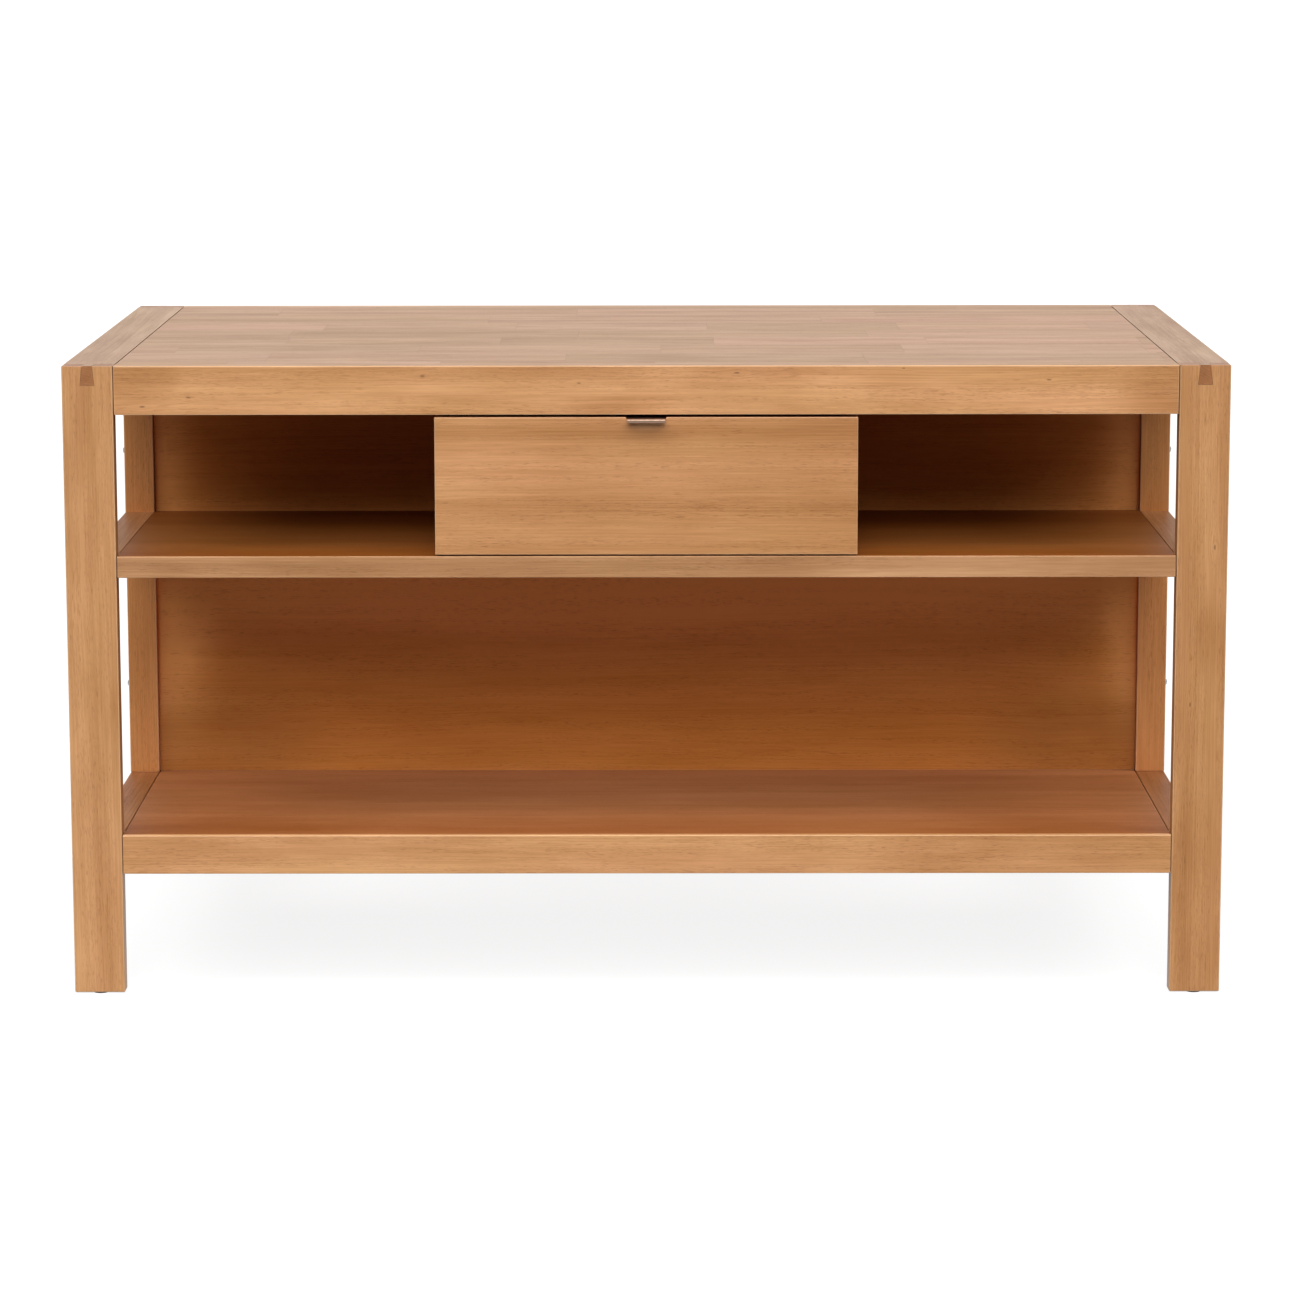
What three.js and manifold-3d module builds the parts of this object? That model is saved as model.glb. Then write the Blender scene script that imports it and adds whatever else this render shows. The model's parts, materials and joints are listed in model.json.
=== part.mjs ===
// Kitchen island of hardwood boards, with open shelves and one drawer in front and knee room behind.
// Millimetres. X runs along the island, Y runs from its front to its back and Z is up.
// The origin lies on the floor, under the middle of the worktop.

import * as THREE from 'three';
import { RoundedBoxGeometry } from 'three/addons/geometries/RoundedBoxGeometry.js';
import { mergeVertices } from 'three/addons/utils/BufferGeometryUtils.js';
import Module from 'manifold-3d';

const wasm = await Module();
wasm.setup();

// Whole island
const ISLAND_LENGTH = 1600;
const ISLAND_DEPTH = 900;
const WORKTOP_HEIGHT = 882;

// Clearances and cutting
const FIT = 0.3;
const SEAM = 1.2;
const ARRIS = 1.5;
const OVERRUN = 5;

// Legs and the rails across their tops
const LEG_WIDTH = 70;
const LEG_THICKNESS = 27;
const TOP_THICKNESS = 27;
const TAIL_TOP_WIDTH = 13.7;
const TAIL_BOTTOM_WIDTH = 19.5;

// Glides under the legs
const GLIDE_THICKNESS = 2;
const GLIDE_DIAMETER = 22;
const GLIDE_NAIL_LENGTH = 12;
const GLIDE_NAIL_DIAMETER = 2.4;

// Aprons under the long edges of the worktop
const APRON_HEIGHT = 67.5;
const APRON_THICKNESS = 27;

// Side frames, inside the legs
const SIDE_FRAME_WIDTH = 43.2;
const POST_DEPTH = 40;
const BEARER_THICKNESS = 27;
const BEARER_LAP = 39;
const CENTRE_BEARER_DEPTH = 27;

// Shelves and the rails along them
const UPPER_BAY_HEIGHT = 195.9;
const MID_SHELF_THICKNESS = 30;
const LOWER_SHELF_HEIGHT = 226;
const LOWER_SHELF_THICKNESS = 20;
const LOWER_RAIL_HEIGHT = 54.5;
const LOWER_RAIL_THICKNESS = 27;
const LOWER_RAIL_LIP = 11;
const CLEAT_WIDTH = 20;
const CLEAT_HEIGHT = 20;

// Back panel, with its face this far behind the front of the island, and the posts centred on it
const PANEL_SETBACK = 450;
const PANEL_THICKNESS = 20;

// Tenons and the tongues of the middle shelf, each rooted this deep in its own board
const TENON_ROOT = 2;
const RAIL_TENON_LENGTH = 18;
const RAIL_TENON_THICKNESS = 9;
const RAIL_SHOULDER = 10;
const SIDE_TENON_LENGTH = 8;
const SIDE_TENON_WIDTH = 12;
const SIDE_TENON_INSET = 5;
const SIDE_SHOULDER = 7;
const POST_TENON_LENGTH = 12;
const TONGUE_LENGTH = 8;
const TONGUE_THICKNESS = 8;
const TONGUE_STOP = 15;

// Bolts through the posts, into threaded sleeves in the edges of the back panel
const UPPER_BOLT_RISE = 89.4;
const LOWER_BOLT_RISE = 132;
const BOLT_DIAMETER = 6;
const BOLT_GRIP = 14;
const BOLT_HEAD_DIAMETER = 10;
const BOLT_HEAD_HEIGHT = 4.5;
const SOCKET_WIDTH = 4;
const SOCKET_DEPTH = 2.4;
const SLEEVE_DIAMETER = 10;
const SLEEVE_LENGTH = 18;

// Drawer front and box
const DRAWER_FRONT_LENGTH = 581;
const DRAWER_TOP_GAP = 3.8;
const DRAWER_BOTTOM_GAP = 2;
const DRAWER_BACK_GAP = 66;
const DRAWER_BOX_HEIGHT = 150;
const DRAWER_BOX_RISE = 8;
const DRAWER_WALL = 12;
const DRAWER_BOTTOM_THICKNESS = 6;
const DRAWER_BOTTOM_RISE = 12;
const DRAWER_GROOVE = 6;

// Dividers at the ends of the drawer, with a pad where the front shuts
const DIVIDER_THICKNESS = 18;
const DIVIDER_INSET = 1.5;
const PAD_THICKNESS = 3;
const PAD_DIAMETER = 9;
const PAD_DROP = 40;

// Runners of three channels, one inside the next
const RUNNER_BACK_GAP = 3.7;
const RUNNER_HEIGHT = 45;
const RUNNER_DEPTH = 12.7;
const RUNNER_SHEET = 1.2;
const RUNNER_PLAY = 0.5;
const RUNNER_SETBACK = 3;
const RUNNER_LIP_SETBACK = 3;

// Pull of bent sheet over the top edge of the drawer front
const PULL_WIDTH = 52;
const PULL_SHEET = 2;
const PULL_REACH = 13;
const PULL_LIP = 6.6;
const PULL_DROP = 0.8;
const PULL_SIDE_GAP = 1.5;
const PULL_FLANGE = 23;
const PULL_BEND = 1.4;
const PULL_SCREW_SPACING = 36;
const PULL_SCREW_DROP = 13;
const PULL_SCREW_DIAMETER = 3;
const PULL_SCREW_LENGTH = 14;
const PULL_SCREW_HEAD_DIAMETER = 6.4;
const PULL_SCREW_HEAD_HEIGHT = 1.8;

// Steps round a curve
const ROUND_STEPS = 20;
const BEND_STEPS = 4;
const EASE_STEPS = 1;
const SOCKET_SIDES = 6;

// Places worked out from the sizes above, as distances from the middle planes and the floor
const HALF_LENGTH = ISLAND_LENGTH / 2;
const HALF_DEPTH = ISLAND_DEPTH / 2;
const LEG_INNER = HALF_LENGTH - LEG_WIDTH;
const LEG_CENTRE = HALF_LENGTH - LEG_WIDTH / 2;
const LEG_BACK = HALF_DEPTH - LEG_THICKNESS;
const RAIL_END = LEG_INNER - SEAM;
const SIDE_OUTER = RAIL_END + SIDE_FRAME_WIDTH;
const SHELF_END = RAIL_END - FIT;
const TOP_UNDERSIDE = WORKTOP_HEIGHT - TOP_THICKNESS;
const APRON_UNDERSIDE = WORKTOP_HEIGHT - APRON_HEIGHT;
const MID_SHELF_HEIGHT = APRON_UNDERSIDE - UPPER_BAY_HEIGHT;
const APRON_INNER = HALF_DEPTH - APRON_THICKNESS;
const BEARER_UNDERSIDE = TOP_UNDERSIDE - BEARER_THICKNESS;
const BEARER_INNER = RAIL_END - BEARER_LAP;
const MID_SHELF_UNDERSIDE = MID_SHELF_HEIGHT - MID_SHELF_THICKNESS;
const LOWER_SHELF_UNDERSIDE = LOWER_SHELF_HEIGHT - LOWER_SHELF_THICKNESS;
const LOWER_RAIL_UNDERSIDE = LOWER_SHELF_HEIGHT - LOWER_RAIL_HEIGHT;
const LOWER_RAIL_INNER = HALF_DEPTH - LOWER_RAIL_THICKNESS;
const CLEAT_UNDERSIDE = LOWER_SHELF_UNDERSIDE - CLEAT_HEIGHT;
const PANEL_FRONT = PANEL_SETBACK - HALF_DEPTH;
const PANEL_BACK = PANEL_FRONT + PANEL_THICKNESS;
const PANEL_CENTRE = (PANEL_FRONT + PANEL_BACK) / 2;
const POST_FRONT = PANEL_CENTRE - POST_DEPTH / 2;
const SIDE_TENON_OUTER = SIDE_OUTER - SIDE_TENON_INSET;
const SIDE_TENON_INNER = SIDE_TENON_OUTER - SIDE_TENON_WIDTH;
const UPPER_BOLT_HEIGHT = MID_SHELF_HEIGHT + UPPER_BOLT_RISE;
const LOWER_BOLT_HEIGHT = LOWER_SHELF_HEIGHT + LOWER_BOLT_RISE;
const BOLT_LENGTH = SIDE_FRAME_WIDTH + FIT + BOLT_GRIP;

// Places of the drawer and what holds it
const DRAWER_FRONT_THICKNESS = APRON_THICKNESS - PAD_THICKNESS;
const DRAWER_FRONT_BACK = DRAWER_FRONT_THICKNESS - HALF_DEPTH;
const DRAWER_FRONT_END = DRAWER_FRONT_LENGTH / 2;
const DRAWER_FRONT_TOP = APRON_UNDERSIDE - DRAWER_TOP_GAP;
const DRAWER_FRONT_BOTTOM = MID_SHELF_HEIGHT + DRAWER_BOTTOM_GAP;
const DIVIDER_FRONT = FIT - APRON_INNER;
const DIVIDER_OUTER = DRAWER_FRONT_END - DIVIDER_INSET;
const DIVIDER_INNER = DIVIDER_OUTER - DIVIDER_THICKNESS;
const BOX_OUTER = DIVIDER_INNER - RUNNER_DEPTH;
const BOX_INNER = BOX_OUTER - DRAWER_WALL;
const BOX_BOTTOM = DRAWER_FRONT_BOTTOM + DRAWER_BOX_RISE;
const BOX_TOP = BOX_BOTTOM + DRAWER_BOX_HEIGHT;
const BOX_BACK = PANEL_FRONT - DRAWER_BACK_GAP;
const RUNNER_CENTRE = BOX_BOTTOM + DRAWER_BOX_HEIGHT / 2;
const RUNNER_FRONT = DIVIDER_FRONT + RUNNER_SETBACK;
const RUNNER_BACK = BOX_BACK - RUNNER_BACK_GAP;
const PULL_TOP = DRAWER_FRONT_TOP - PULL_DROP;
const PULL_SCREW_HEIGHT = PULL_TOP - PULL_SCREW_DROP;

const SIDES = [['left', -1], ['right', 1]];
const ENDS = [['front', -1], ['back', 1]];

// Solids from geometry and back
function toSolid(geometry) {
  geometry.deleteAttribute('normal');
  geometry.deleteAttribute('uv');
  const merged = mergeVertices(geometry);
  return new wasm.Manifold(new wasm.Mesh({
    numProp: 3,
    vertProperties: new Float32Array(merged.attributes.position.array),
    triVerts: new Uint32Array(merged.index.array),
  }));
}

function toGeometry(solid) {
  const { vertProperties, triVerts } = solid.getMesh();
  const geometry = new THREE.BufferGeometry();
  geometry.setAttribute('position', new THREE.BufferAttribute(new Float32Array(vertProperties), 3));
  geometry.setIndex(new THREE.BufferAttribute(new Uint32Array(triVerts), 1));
  geometry.computeVertexNormals();
  return geometry;
}

// A span is a low and a high place on one axis, and a board is a span on each of X, Y and Z
function span(one, other) {
  return [Math.min(one, other), Math.max(one, other)];
}

function onSide(sign, near, far) {
  return span(sign * near, sign * far);
}

function about(centre, width) {
  return span(centre - width / 2, centre + width / 2);
}

function grown([low, high], by) {
  return [low - by, high + by];
}

function lengthOf([low, high]) {
  return high - low;
}

function middleOf([low, high]) {
  return (low + high) / 2;
}

function settle(geometry, x, y, z) {
  geometry.translate(middleOf(x), middleOf(y), middleOf(z));
  return toSolid(geometry);
}

function squareBoard(x, y, z) {
  return settle(new THREE.BoxGeometry(lengthOf(x), lengthOf(y), lengthOf(z)), x, y, z);
}

function easedBoard(x, y, z) {
  return settle(new RoundedBoxGeometry(lengthOf(x), lengthOf(y), lengthOf(z), EASE_STEPS, ARRIS), x, y, z);
}

function mortise(x, y, z) {
  return squareBoard(grown(x, FIT), grown(y, FIT), grown(z, FIT));
}

// An outline of [y, z] points drawn along X
function alongX(outline, x) {
  const shape = new THREE.Shape(outline.map(([y, z]) => new THREE.Vector2(y, z)));
  const geometry = new THREE.ExtrudeGeometry(shape, { depth: lengthOf(x), bevelEnabled: false });
  geometry.rotateX(Math.PI / 2);
  geometry.rotateZ(Math.PI / 2);
  geometry.translate(x[0], 0, 0);
  return toSolid(geometry);
}

// An outline of [x, z] points drawn along Y
function alongY(outline, y) {
  const shape = new THREE.Shape(outline.map(([x, z]) => new THREE.Vector2(x, z)));
  const geometry = new THREE.ExtrudeGeometry(shape, { depth: lengthOf(y), bevelEnabled: false });
  geometry.rotateX(Math.PI / 2);
  geometry.translate(0, y[1], 0);
  return toSolid(geometry);
}

// A round piece whose [radius, height] outline turns about a line along Z
function turned(outline) {
  const points = outline.map(([radius, height]) => new THREE.Vector2(radius, height));
  const geometry = new THREE.LatheGeometry(points, ROUND_STEPS);
  geometry.rotateX(Math.PI / 2);
  return geometry;
}

function rod(radius, height) {
  return turned([[0, 0], [radius, 0], [radius, height], [0, height]]);
}

function pointAlongX(geometry, sign, from, y, z) {
  geometry.rotateY(-sign * Math.PI / 2);
  geometry.translate(sign * from, y, z);
  return toSolid(geometry);
}

function pointAlongY(geometry, from, x, z) {
  geometry.rotateX(Math.PI / 2);
  geometry.translate(x, from, z);
  return toSolid(geometry);
}

function pointUp(geometry, x, y, z) {
  geometry.translate(x, y, z);
  return toSolid(geometry);
}

// Finishes
function wood(colour) {
  return new THREE.MeshStandardMaterial({ color: colour, roughness: 0.5, metalness: 0 });
}

function metal(colour, roughness) {
  return new THREE.MeshStandardMaterial({ color: colour, roughness, metalness: 1 });
}

function plastic(colour) {
  return new THREE.MeshStandardMaterial({ color: colour, roughness: 0.7, metalness: 0 });
}

const island = new THREE.Group();

function add(name, solid, material) {
  const mesh = new THREE.Mesh(toGeometry(solid), material);
  mesh.name = name;
  island.add(mesh);
}

// The dovetail on each end of an end rail, as an outline of [x, z] points
function tailOutline(sign) {
  const centre = sign * LEG_CENTRE;
  const top = about(centre, TAIL_TOP_WIDTH);
  const bottom = about(centre, TAIL_BOTTOM_WIDTH);
  const low = TOP_UNDERSIDE;
  return [[bottom[0], low], [bottom[1], low], [top[1], WORKTOP_HEIGHT], [top[0], WORKTOP_HEIGHT]];
}

// The slot for it runs on above the leg, with the same slope
function tailSlotOutline(sign) {
  const centre = sign * LEG_CENTRE;
  const slope = (TAIL_BOTTOM_WIDTH - TAIL_TOP_WIDTH) / TOP_THICKNESS;
  const bottom = about(centre, TAIL_BOTTOM_WIDTH + slope * FIT + 2 * FIT);
  const top = about(centre, TAIL_TOP_WIDTH - slope * OVERRUN + 2 * FIT);
  const low = TOP_UNDERSIDE - FIT;
  const high = WORKTOP_HEIGHT + OVERRUN;
  return [[bottom[0], low], [bottom[1], low], [top[1], high], [top[0], high]];
}

// Tenons, each as the board that it fills
function railTenon(sign, end, shoulder, thickness, height) {
  return [
    onSide(sign, shoulder - TENON_ROOT, LEG_INNER + RAIL_TENON_LENGTH),
    about(end * (HALF_DEPTH - thickness / 2), RAIL_TENON_THICKNESS),
    [height[0] + RAIL_SHOULDER, height[1] - RAIL_SHOULDER],
  ];
}

function apronTenon(sign, end) {
  return railTenon(sign, end, RAIL_END, APRON_THICKNESS, [APRON_UNDERSIDE, TOP_UNDERSIDE]);
}

function lowerRailTenon(sign) {
  const height = [LOWER_RAIL_UNDERSIDE, LOWER_SHELF_UNDERSIDE + RAIL_SHOULDER];
  return railTenon(sign, -1, RAIL_END, LOWER_RAIL_THICKNESS, height);
}

function sideTenon(sign, y, height) {
  return [
    onSide(sign, SIDE_TENON_INNER, SIDE_TENON_OUTER),
    y,
    [height[0] + SIDE_SHOULDER, height[1] - SIDE_SHOULDER],
  ];
}

function legTenon(sign, end, height) {
  return sideTenon(sign, onSide(end, LEG_BACK - TENON_ROOT, LEG_BACK + SIDE_TENON_LENGTH), height);
}

function postTenon(sign, z) {
  return [
    onSide(sign, RAIL_END + SIDE_SHOULDER, SIDE_OUTER - SIDE_SHOULDER),
    about(PANEL_CENTRE, POST_DEPTH - 2 * SIDE_SHOULDER),
    z,
  ];
}

function lowerBackRailTenon(sign) {
  return [
    onSide(sign, SHELF_END - TENON_ROOT, RAIL_END + RAIL_TENON_LENGTH),
    about(PANEL_BACK - LOWER_RAIL_THICKNESS / 2, RAIL_TENON_THICKNESS),
    [LOWER_RAIL_UNDERSIDE + RAIL_SHOULDER, LOWER_SHELF_UNDERSIDE - RAIL_SHOULDER],
  ];
}

function shelfTongue(sign) {
  return [
    onSide(sign, SHELF_END - TENON_ROOT, RAIL_END + TONGUE_LENGTH),
    [TONGUE_STOP - LEG_BACK, POST_FRONT - TONGUE_STOP],
    about(MID_SHELF_HEIGHT - MID_SHELF_THICKNESS / 2, TONGUE_THICKNESS),
  ];
}

const LOWER_RAIL_SPAN = [LOWER_RAIL_UNDERSIDE, LOWER_SHELF_HEIGHT];
const MID_RAIL_SPAN = [MID_SHELF_UNDERSIDE, MID_SHELF_HEIGHT];
const BEARER_SPAN = [BEARER_UNDERSIDE, TOP_UNDERSIDE];
const POST_FOOT = [LOWER_SHELF_HEIGHT - POST_TENON_LENGTH, LOWER_SHELF_HEIGHT + TENON_ROOT];
const POST_HEAD = [BEARER_UNDERSIDE - TENON_ROOT, BEARER_UNDERSIDE + POST_TENON_LENGTH];
const BETWEEN_LEGS = [-LEG_BACK, LEG_BACK];

// Legs, each with a glide nailed under its foot
function addLeg(side, sign, endName, end, material) {
  const x = onSide(sign, LEG_INNER, HALF_LENGTH);
  const y = onSide(end, LEG_BACK, HALF_DEPTH);
  const nail = rod(GLIDE_NAIL_DIAMETER / 2 + FIT, GLIDE_NAIL_LENGTH + FIT + OVERRUN);
  let leg = easedBoard(x, y, [GLIDE_THICKNESS, WORKTOP_HEIGHT])
    .subtract(alongY(tailSlotOutline(sign), grown(y, OVERRUN)))
    .subtract(mortise(...apronTenon(sign, end)))
    .subtract(mortise(...legTenon(sign, end, LOWER_RAIL_SPAN)))
    .subtract(mortise(...legTenon(sign, end, BEARER_SPAN)))
    .subtract(pointUp(nail, middleOf(x), middleOf(y), GLIDE_THICKNESS - OVERRUN));
  if (end < 0) {
    leg = leg.subtract(mortise(...lowerRailTenon(sign)));
    leg = leg.subtract(mortise(...legTenon(sign, end, MID_RAIL_SPAN)));
  }
  add(`${endName}_leg_${side}`, leg, material);
}

function addGlide(side, sign, endName, end, material) {
  const radius = GLIDE_DIAMETER / 2;
  const nail = GLIDE_NAIL_DIAMETER / 2;
  const tip = GLIDE_THICKNESS + GLIDE_NAIL_LENGTH;
  const plate = GLIDE_THICKNESS;
  const outline = [[0, 0], [radius, 0], [radius, plate], [nail, plate], [nail, tip], [0, tip]];
  const y = end * (HALF_DEPTH - LEG_THICKNESS / 2);
  add(`glide_${endName}_${side}`, pointUp(turned(outline), sign * LEG_CENTRE, y, 0), material);
}

// End rail over each pair of legs, dovetailed through them
function addEndRail(side, sign, material) {
  const y = [-LEG_BACK, LEG_BACK];
  const tails = alongY(tailOutline(sign), [-HALF_DEPTH, HALF_DEPTH]);
  const rail = squareBoard(onSide(sign, LEG_INNER, HALF_LENGTH), y, [TOP_UNDERSIDE, WORKTOP_HEIGHT]);
  add(`end_rail_${side}`, rail.add(tails), material);
}

// Side frame inside the legs: bearer, middle rail, lower rail and post
function addTopBearer(side, sign, material) {
  const bearer = squareBoard(onSide(sign, BEARER_INNER, SIDE_OUTER), BETWEEN_LEGS, BEARER_SPAN)
    .add(squareBoard(...legTenon(sign, -1, BEARER_SPAN)))
    .add(squareBoard(...legTenon(sign, 1, BEARER_SPAN)))
    .subtract(mortise(...postTenon(sign, POST_HEAD)));
  add(`top_bearer_${side}`, bearer, material);
}

function addMidSideRail(side, sign, material) {
  const y = [-LEG_BACK, POST_FRONT];
  const intoPost = [POST_FRONT - TENON_ROOT, POST_FRONT + SIDE_TENON_LENGTH];
  const rail = easedBoard(onSide(sign, RAIL_END, SIDE_OUTER), y, MID_RAIL_SPAN)
    .add(squareBoard(...legTenon(sign, -1, MID_RAIL_SPAN)))
    .add(squareBoard(...sideTenon(sign, intoPost, MID_RAIL_SPAN)))
    .subtract(mortise(...shelfTongue(sign)));
  add(`mid_side_rail_${side}`, rail, material);
}

function addLowerSideRail(side, sign, material) {
  const rail = easedBoard(onSide(sign, RAIL_END, SIDE_OUTER), BETWEEN_LEGS, LOWER_RAIL_SPAN)
    .add(squareBoard(...legTenon(sign, -1, LOWER_RAIL_SPAN)))
    .add(squareBoard(...legTenon(sign, 1, LOWER_RAIL_SPAN)))
    .subtract(mortise(...postTenon(sign, POST_FOOT)))
    .subtract(mortise(...lowerBackRailTenon(sign)));
  add(`lower_side_rail_${side}`, rail, material);
}

function addPost(side, sign, material) {
  const z = [LOWER_SHELF_HEIGHT, BEARER_UNDERSIDE];
  const intoPost = [POST_FRONT - TENON_ROOT, POST_FRONT + SIDE_TENON_LENGTH];
  let post = easedBoard(onSide(sign, RAIL_END, SIDE_OUTER), about(PANEL_CENTRE, POST_DEPTH), z)
    .add(squareBoard(...postTenon(sign, POST_FOOT)))
    .add(squareBoard(...postTenon(sign, POST_HEAD)))
    .subtract(mortise(...sideTenon(sign, intoPost, MID_RAIL_SPAN)));
  for (const height of [UPPER_BOLT_HEIGHT, LOWER_BOLT_HEIGHT]) {
    const hole = rod(BOLT_DIAMETER / 2 + FIT, SIDE_FRAME_WIDTH + 2 * OVERRUN);
    post = post.subtract(pointAlongX(hole, sign, SIDE_OUTER + OVERRUN, PANEL_CENTRE, height));
  }
  add(`post_${side}`, post, material);
}

// Bolt with a domed head and a hexagon socket, and the sleeve that it screws into
function socketHole() {
  const radius = SOCKET_WIDTH / 2;
  const depth = SOCKET_DEPTH + OVERRUN;
  const hole = new THREE.CylinderGeometry(radius, radius, depth, SOCKET_SIDES);
  hole.rotateX(Math.PI / 2);
  hole.translate(0, 0, SOCKET_DEPTH - BOLT_HEAD_HEIGHT - depth / 2);
  return hole;
}

function addPostBolt(name, sign, height, material) {
  const head = BOLT_HEAD_DIAMETER / 2;
  const shank = BOLT_DIAMETER / 2;
  const dome = [[0, -BOLT_HEAD_HEIGHT]];
  for (let step = 1; step <= BEND_STEPS; step += 1) {
    const angle = (step / BEND_STEPS) * Math.PI / 2;
    dome.push([head * Math.sin(angle), -BOLT_HEAD_HEIGHT * Math.cos(angle)]);
  }
  const outline = [...dome, [shank, 0], [shank, BOLT_LENGTH], [0, BOLT_LENGTH]];
  const bolt = pointAlongX(turned(outline), sign, SIDE_OUTER, PANEL_CENTRE, height)
    .subtract(pointAlongX(socketHole(), sign, SIDE_OUTER, PANEL_CENTRE, height));
  add(name, bolt, material);
}

function addPanelSleeve(name, sign, height, material) {
  const outer = SLEEVE_DIAMETER / 2;
  const inner = BOLT_DIAMETER / 2 + FIT;
  const outline = [[inner, 0], [outer, 0], [outer, SLEEVE_LENGTH], [inner, SLEEVE_LENGTH], [inner, 0]];
  add(name, pointAlongX(turned(outline), sign, SHELF_END, PANEL_CENTRE, height), material);
}

// Worktop of glued staves, and the aprons glued along its edges
function addTabletop(material) {
  const x = [-RAIL_END, RAIL_END];
  add('tabletop', squareBoard(x, [-APRON_INNER, APRON_INNER], [TOP_UNDERSIDE, WORKTOP_HEIGHT]), material);
}

function apronOutline(end) {
  const face = end * HALF_DEPTH;
  const eased = end * (HALF_DEPTH - ARRIS);
  const back = end * APRON_INNER;
  return [
    [back, APRON_UNDERSIDE], [eased, APRON_UNDERSIDE], [face, APRON_UNDERSIDE + ARRIS],
    [face, WORKTOP_HEIGHT - ARRIS], [eased, WORKTOP_HEIGHT], [back, WORKTOP_HEIGHT],
  ];
}

function addApron(endName, end, material) {
  const apron = alongX(apronOutline(end), [-RAIL_END, RAIL_END])
    .add(squareBoard(...apronTenon(-1, end)))
    .add(squareBoard(...apronTenon(1, end)));
  add(`${endName}_apron`, apron, material);
}

// Shelves, their rails and the cleats under the lower one
function addMidShelf(material) {
  const shelf = easedBoard([-SHELF_END, SHELF_END], [-HALF_DEPTH, PANEL_FRONT - FIT], MID_RAIL_SPAN)
    .add(squareBoard(...shelfTongue(-1)))
    .add(squareBoard(...shelfTongue(1)));
  add('mid_shelf', shelf, material);
}

function addLowerShelf(material) {
  const y = [LOWER_RAIL_LIP + FIT - HALF_DEPTH, PANEL_BACK];
  const z = [LOWER_SHELF_UNDERSIDE, LOWER_SHELF_HEIGHT];
  add('lower_shelf', squareBoard([-SHELF_END, SHELF_END], y, z), material);
}

// The rail along the front has a rebate that the shelf lies in, behind a lip
function addLowerFrontRail(material) {
  const x = grown([-RAIL_END, RAIL_END], OVERRUN);
  const y = [LOWER_RAIL_LIP - HALF_DEPTH, OVERRUN - LOWER_RAIL_INNER];
  const rebate = squareBoard(x, y, [LOWER_SHELF_UNDERSIDE, LOWER_SHELF_HEIGHT + OVERRUN]);
  const rail = easedBoard([-RAIL_END, RAIL_END], [-HALF_DEPTH, -LOWER_RAIL_INNER], LOWER_RAIL_SPAN)
    .subtract(rebate)
    .add(squareBoard(...lowerRailTenon(-1)))
    .add(squareBoard(...lowerRailTenon(1)));
  add('lower_front_rail', rail, material);
}

function addLowerBackRail(material) {
  const z = [LOWER_RAIL_UNDERSIDE, LOWER_SHELF_UNDERSIDE];
  const rail = squareBoard([-SHELF_END, SHELF_END], [PANEL_BACK - LOWER_RAIL_THICKNESS, PANEL_BACK], z)
    .add(squareBoard(...lowerBackRailTenon(-1)))
    .add(squareBoard(...lowerBackRailTenon(1)));
  add('lower_back_rail', rail, material);
}

function addCleats(material) {
  const z = [CLEAT_UNDERSIDE, LOWER_SHELF_UNDERSIDE];
  const front = [-LOWER_RAIL_INNER, CLEAT_WIDTH - LOWER_RAIL_INNER];
  add('shelf_cleat_front', squareBoard([-SHELF_END, SHELF_END], front, z), material);
  const y = [front[1] + FIT, PANEL_BACK - LOWER_RAIL_THICKNESS - FIT];
  for (const [side, sign] of SIDES) {
    add(`shelf_cleat_${side}`, squareBoard(onSide(sign, RAIL_END - CLEAT_WIDTH, RAIL_END), y, z), material);
  }
}

// Back panel between the posts, notched round the bearers, and the bearer behind its top edge
function addBackPanel(material) {
  const notch = BEARER_INNER - FIT;
  const under = BEARER_UNDERSIDE - FIT;
  const outline = [
    [-SHELF_END, LOWER_SHELF_HEIGHT], [SHELF_END, LOWER_SHELF_HEIGHT], [SHELF_END, under],
    [notch, under], [notch, TOP_UNDERSIDE], [-notch, TOP_UNDERSIDE], [-notch, under], [-SHELF_END, under],
  ];
  let panel = alongY(outline, [PANEL_FRONT, PANEL_BACK]);
  for (const [, sign] of SIDES) {
    for (const height of [UPPER_BOLT_HEIGHT, LOWER_BOLT_HEIGHT]) {
      const hole = rod(SLEEVE_DIAMETER / 2 + FIT, OVERRUN + SLEEVE_LENGTH + FIT);
      panel = panel.subtract(pointAlongX(hole, sign, SHELF_END + OVERRUN, PANEL_CENTRE, height));
    }
  }
  add('back_panel', panel, material);
}

function addCentreBearer(material) {
  const x = [FIT - BEARER_INNER, BEARER_INNER - FIT];
  add('centre_bearer', squareBoard(x, [PANEL_BACK, PANEL_BACK + CENTRE_BEARER_DEPTH], BEARER_SPAN), material);
}

// Dividers that carry the runners, with a soft pad on the front edge of each
function addDivider(side, sign, material) {
  const y = [DIVIDER_FRONT, PANEL_FRONT - FIT];
  const z = [MID_SHELF_HEIGHT, TOP_UNDERSIDE];
  const divider = squareBoard(onSide(sign, DIVIDER_INNER, DIVIDER_OUTER), y, z);
  add(`drawer_divider_${side}`, divider, material);
}

function addPad(side, sign, material) {
  const centre = sign * (DIVIDER_INNER + DIVIDER_THICKNESS / 2);
  const pad = rod(PAD_DIAMETER / 2, PAD_THICKNESS);
  add(`drawer_pad_${side}`, pointAlongY(pad, DIVIDER_FRONT, centre, DRAWER_FRONT_TOP - PAD_DROP), material);
}

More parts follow.
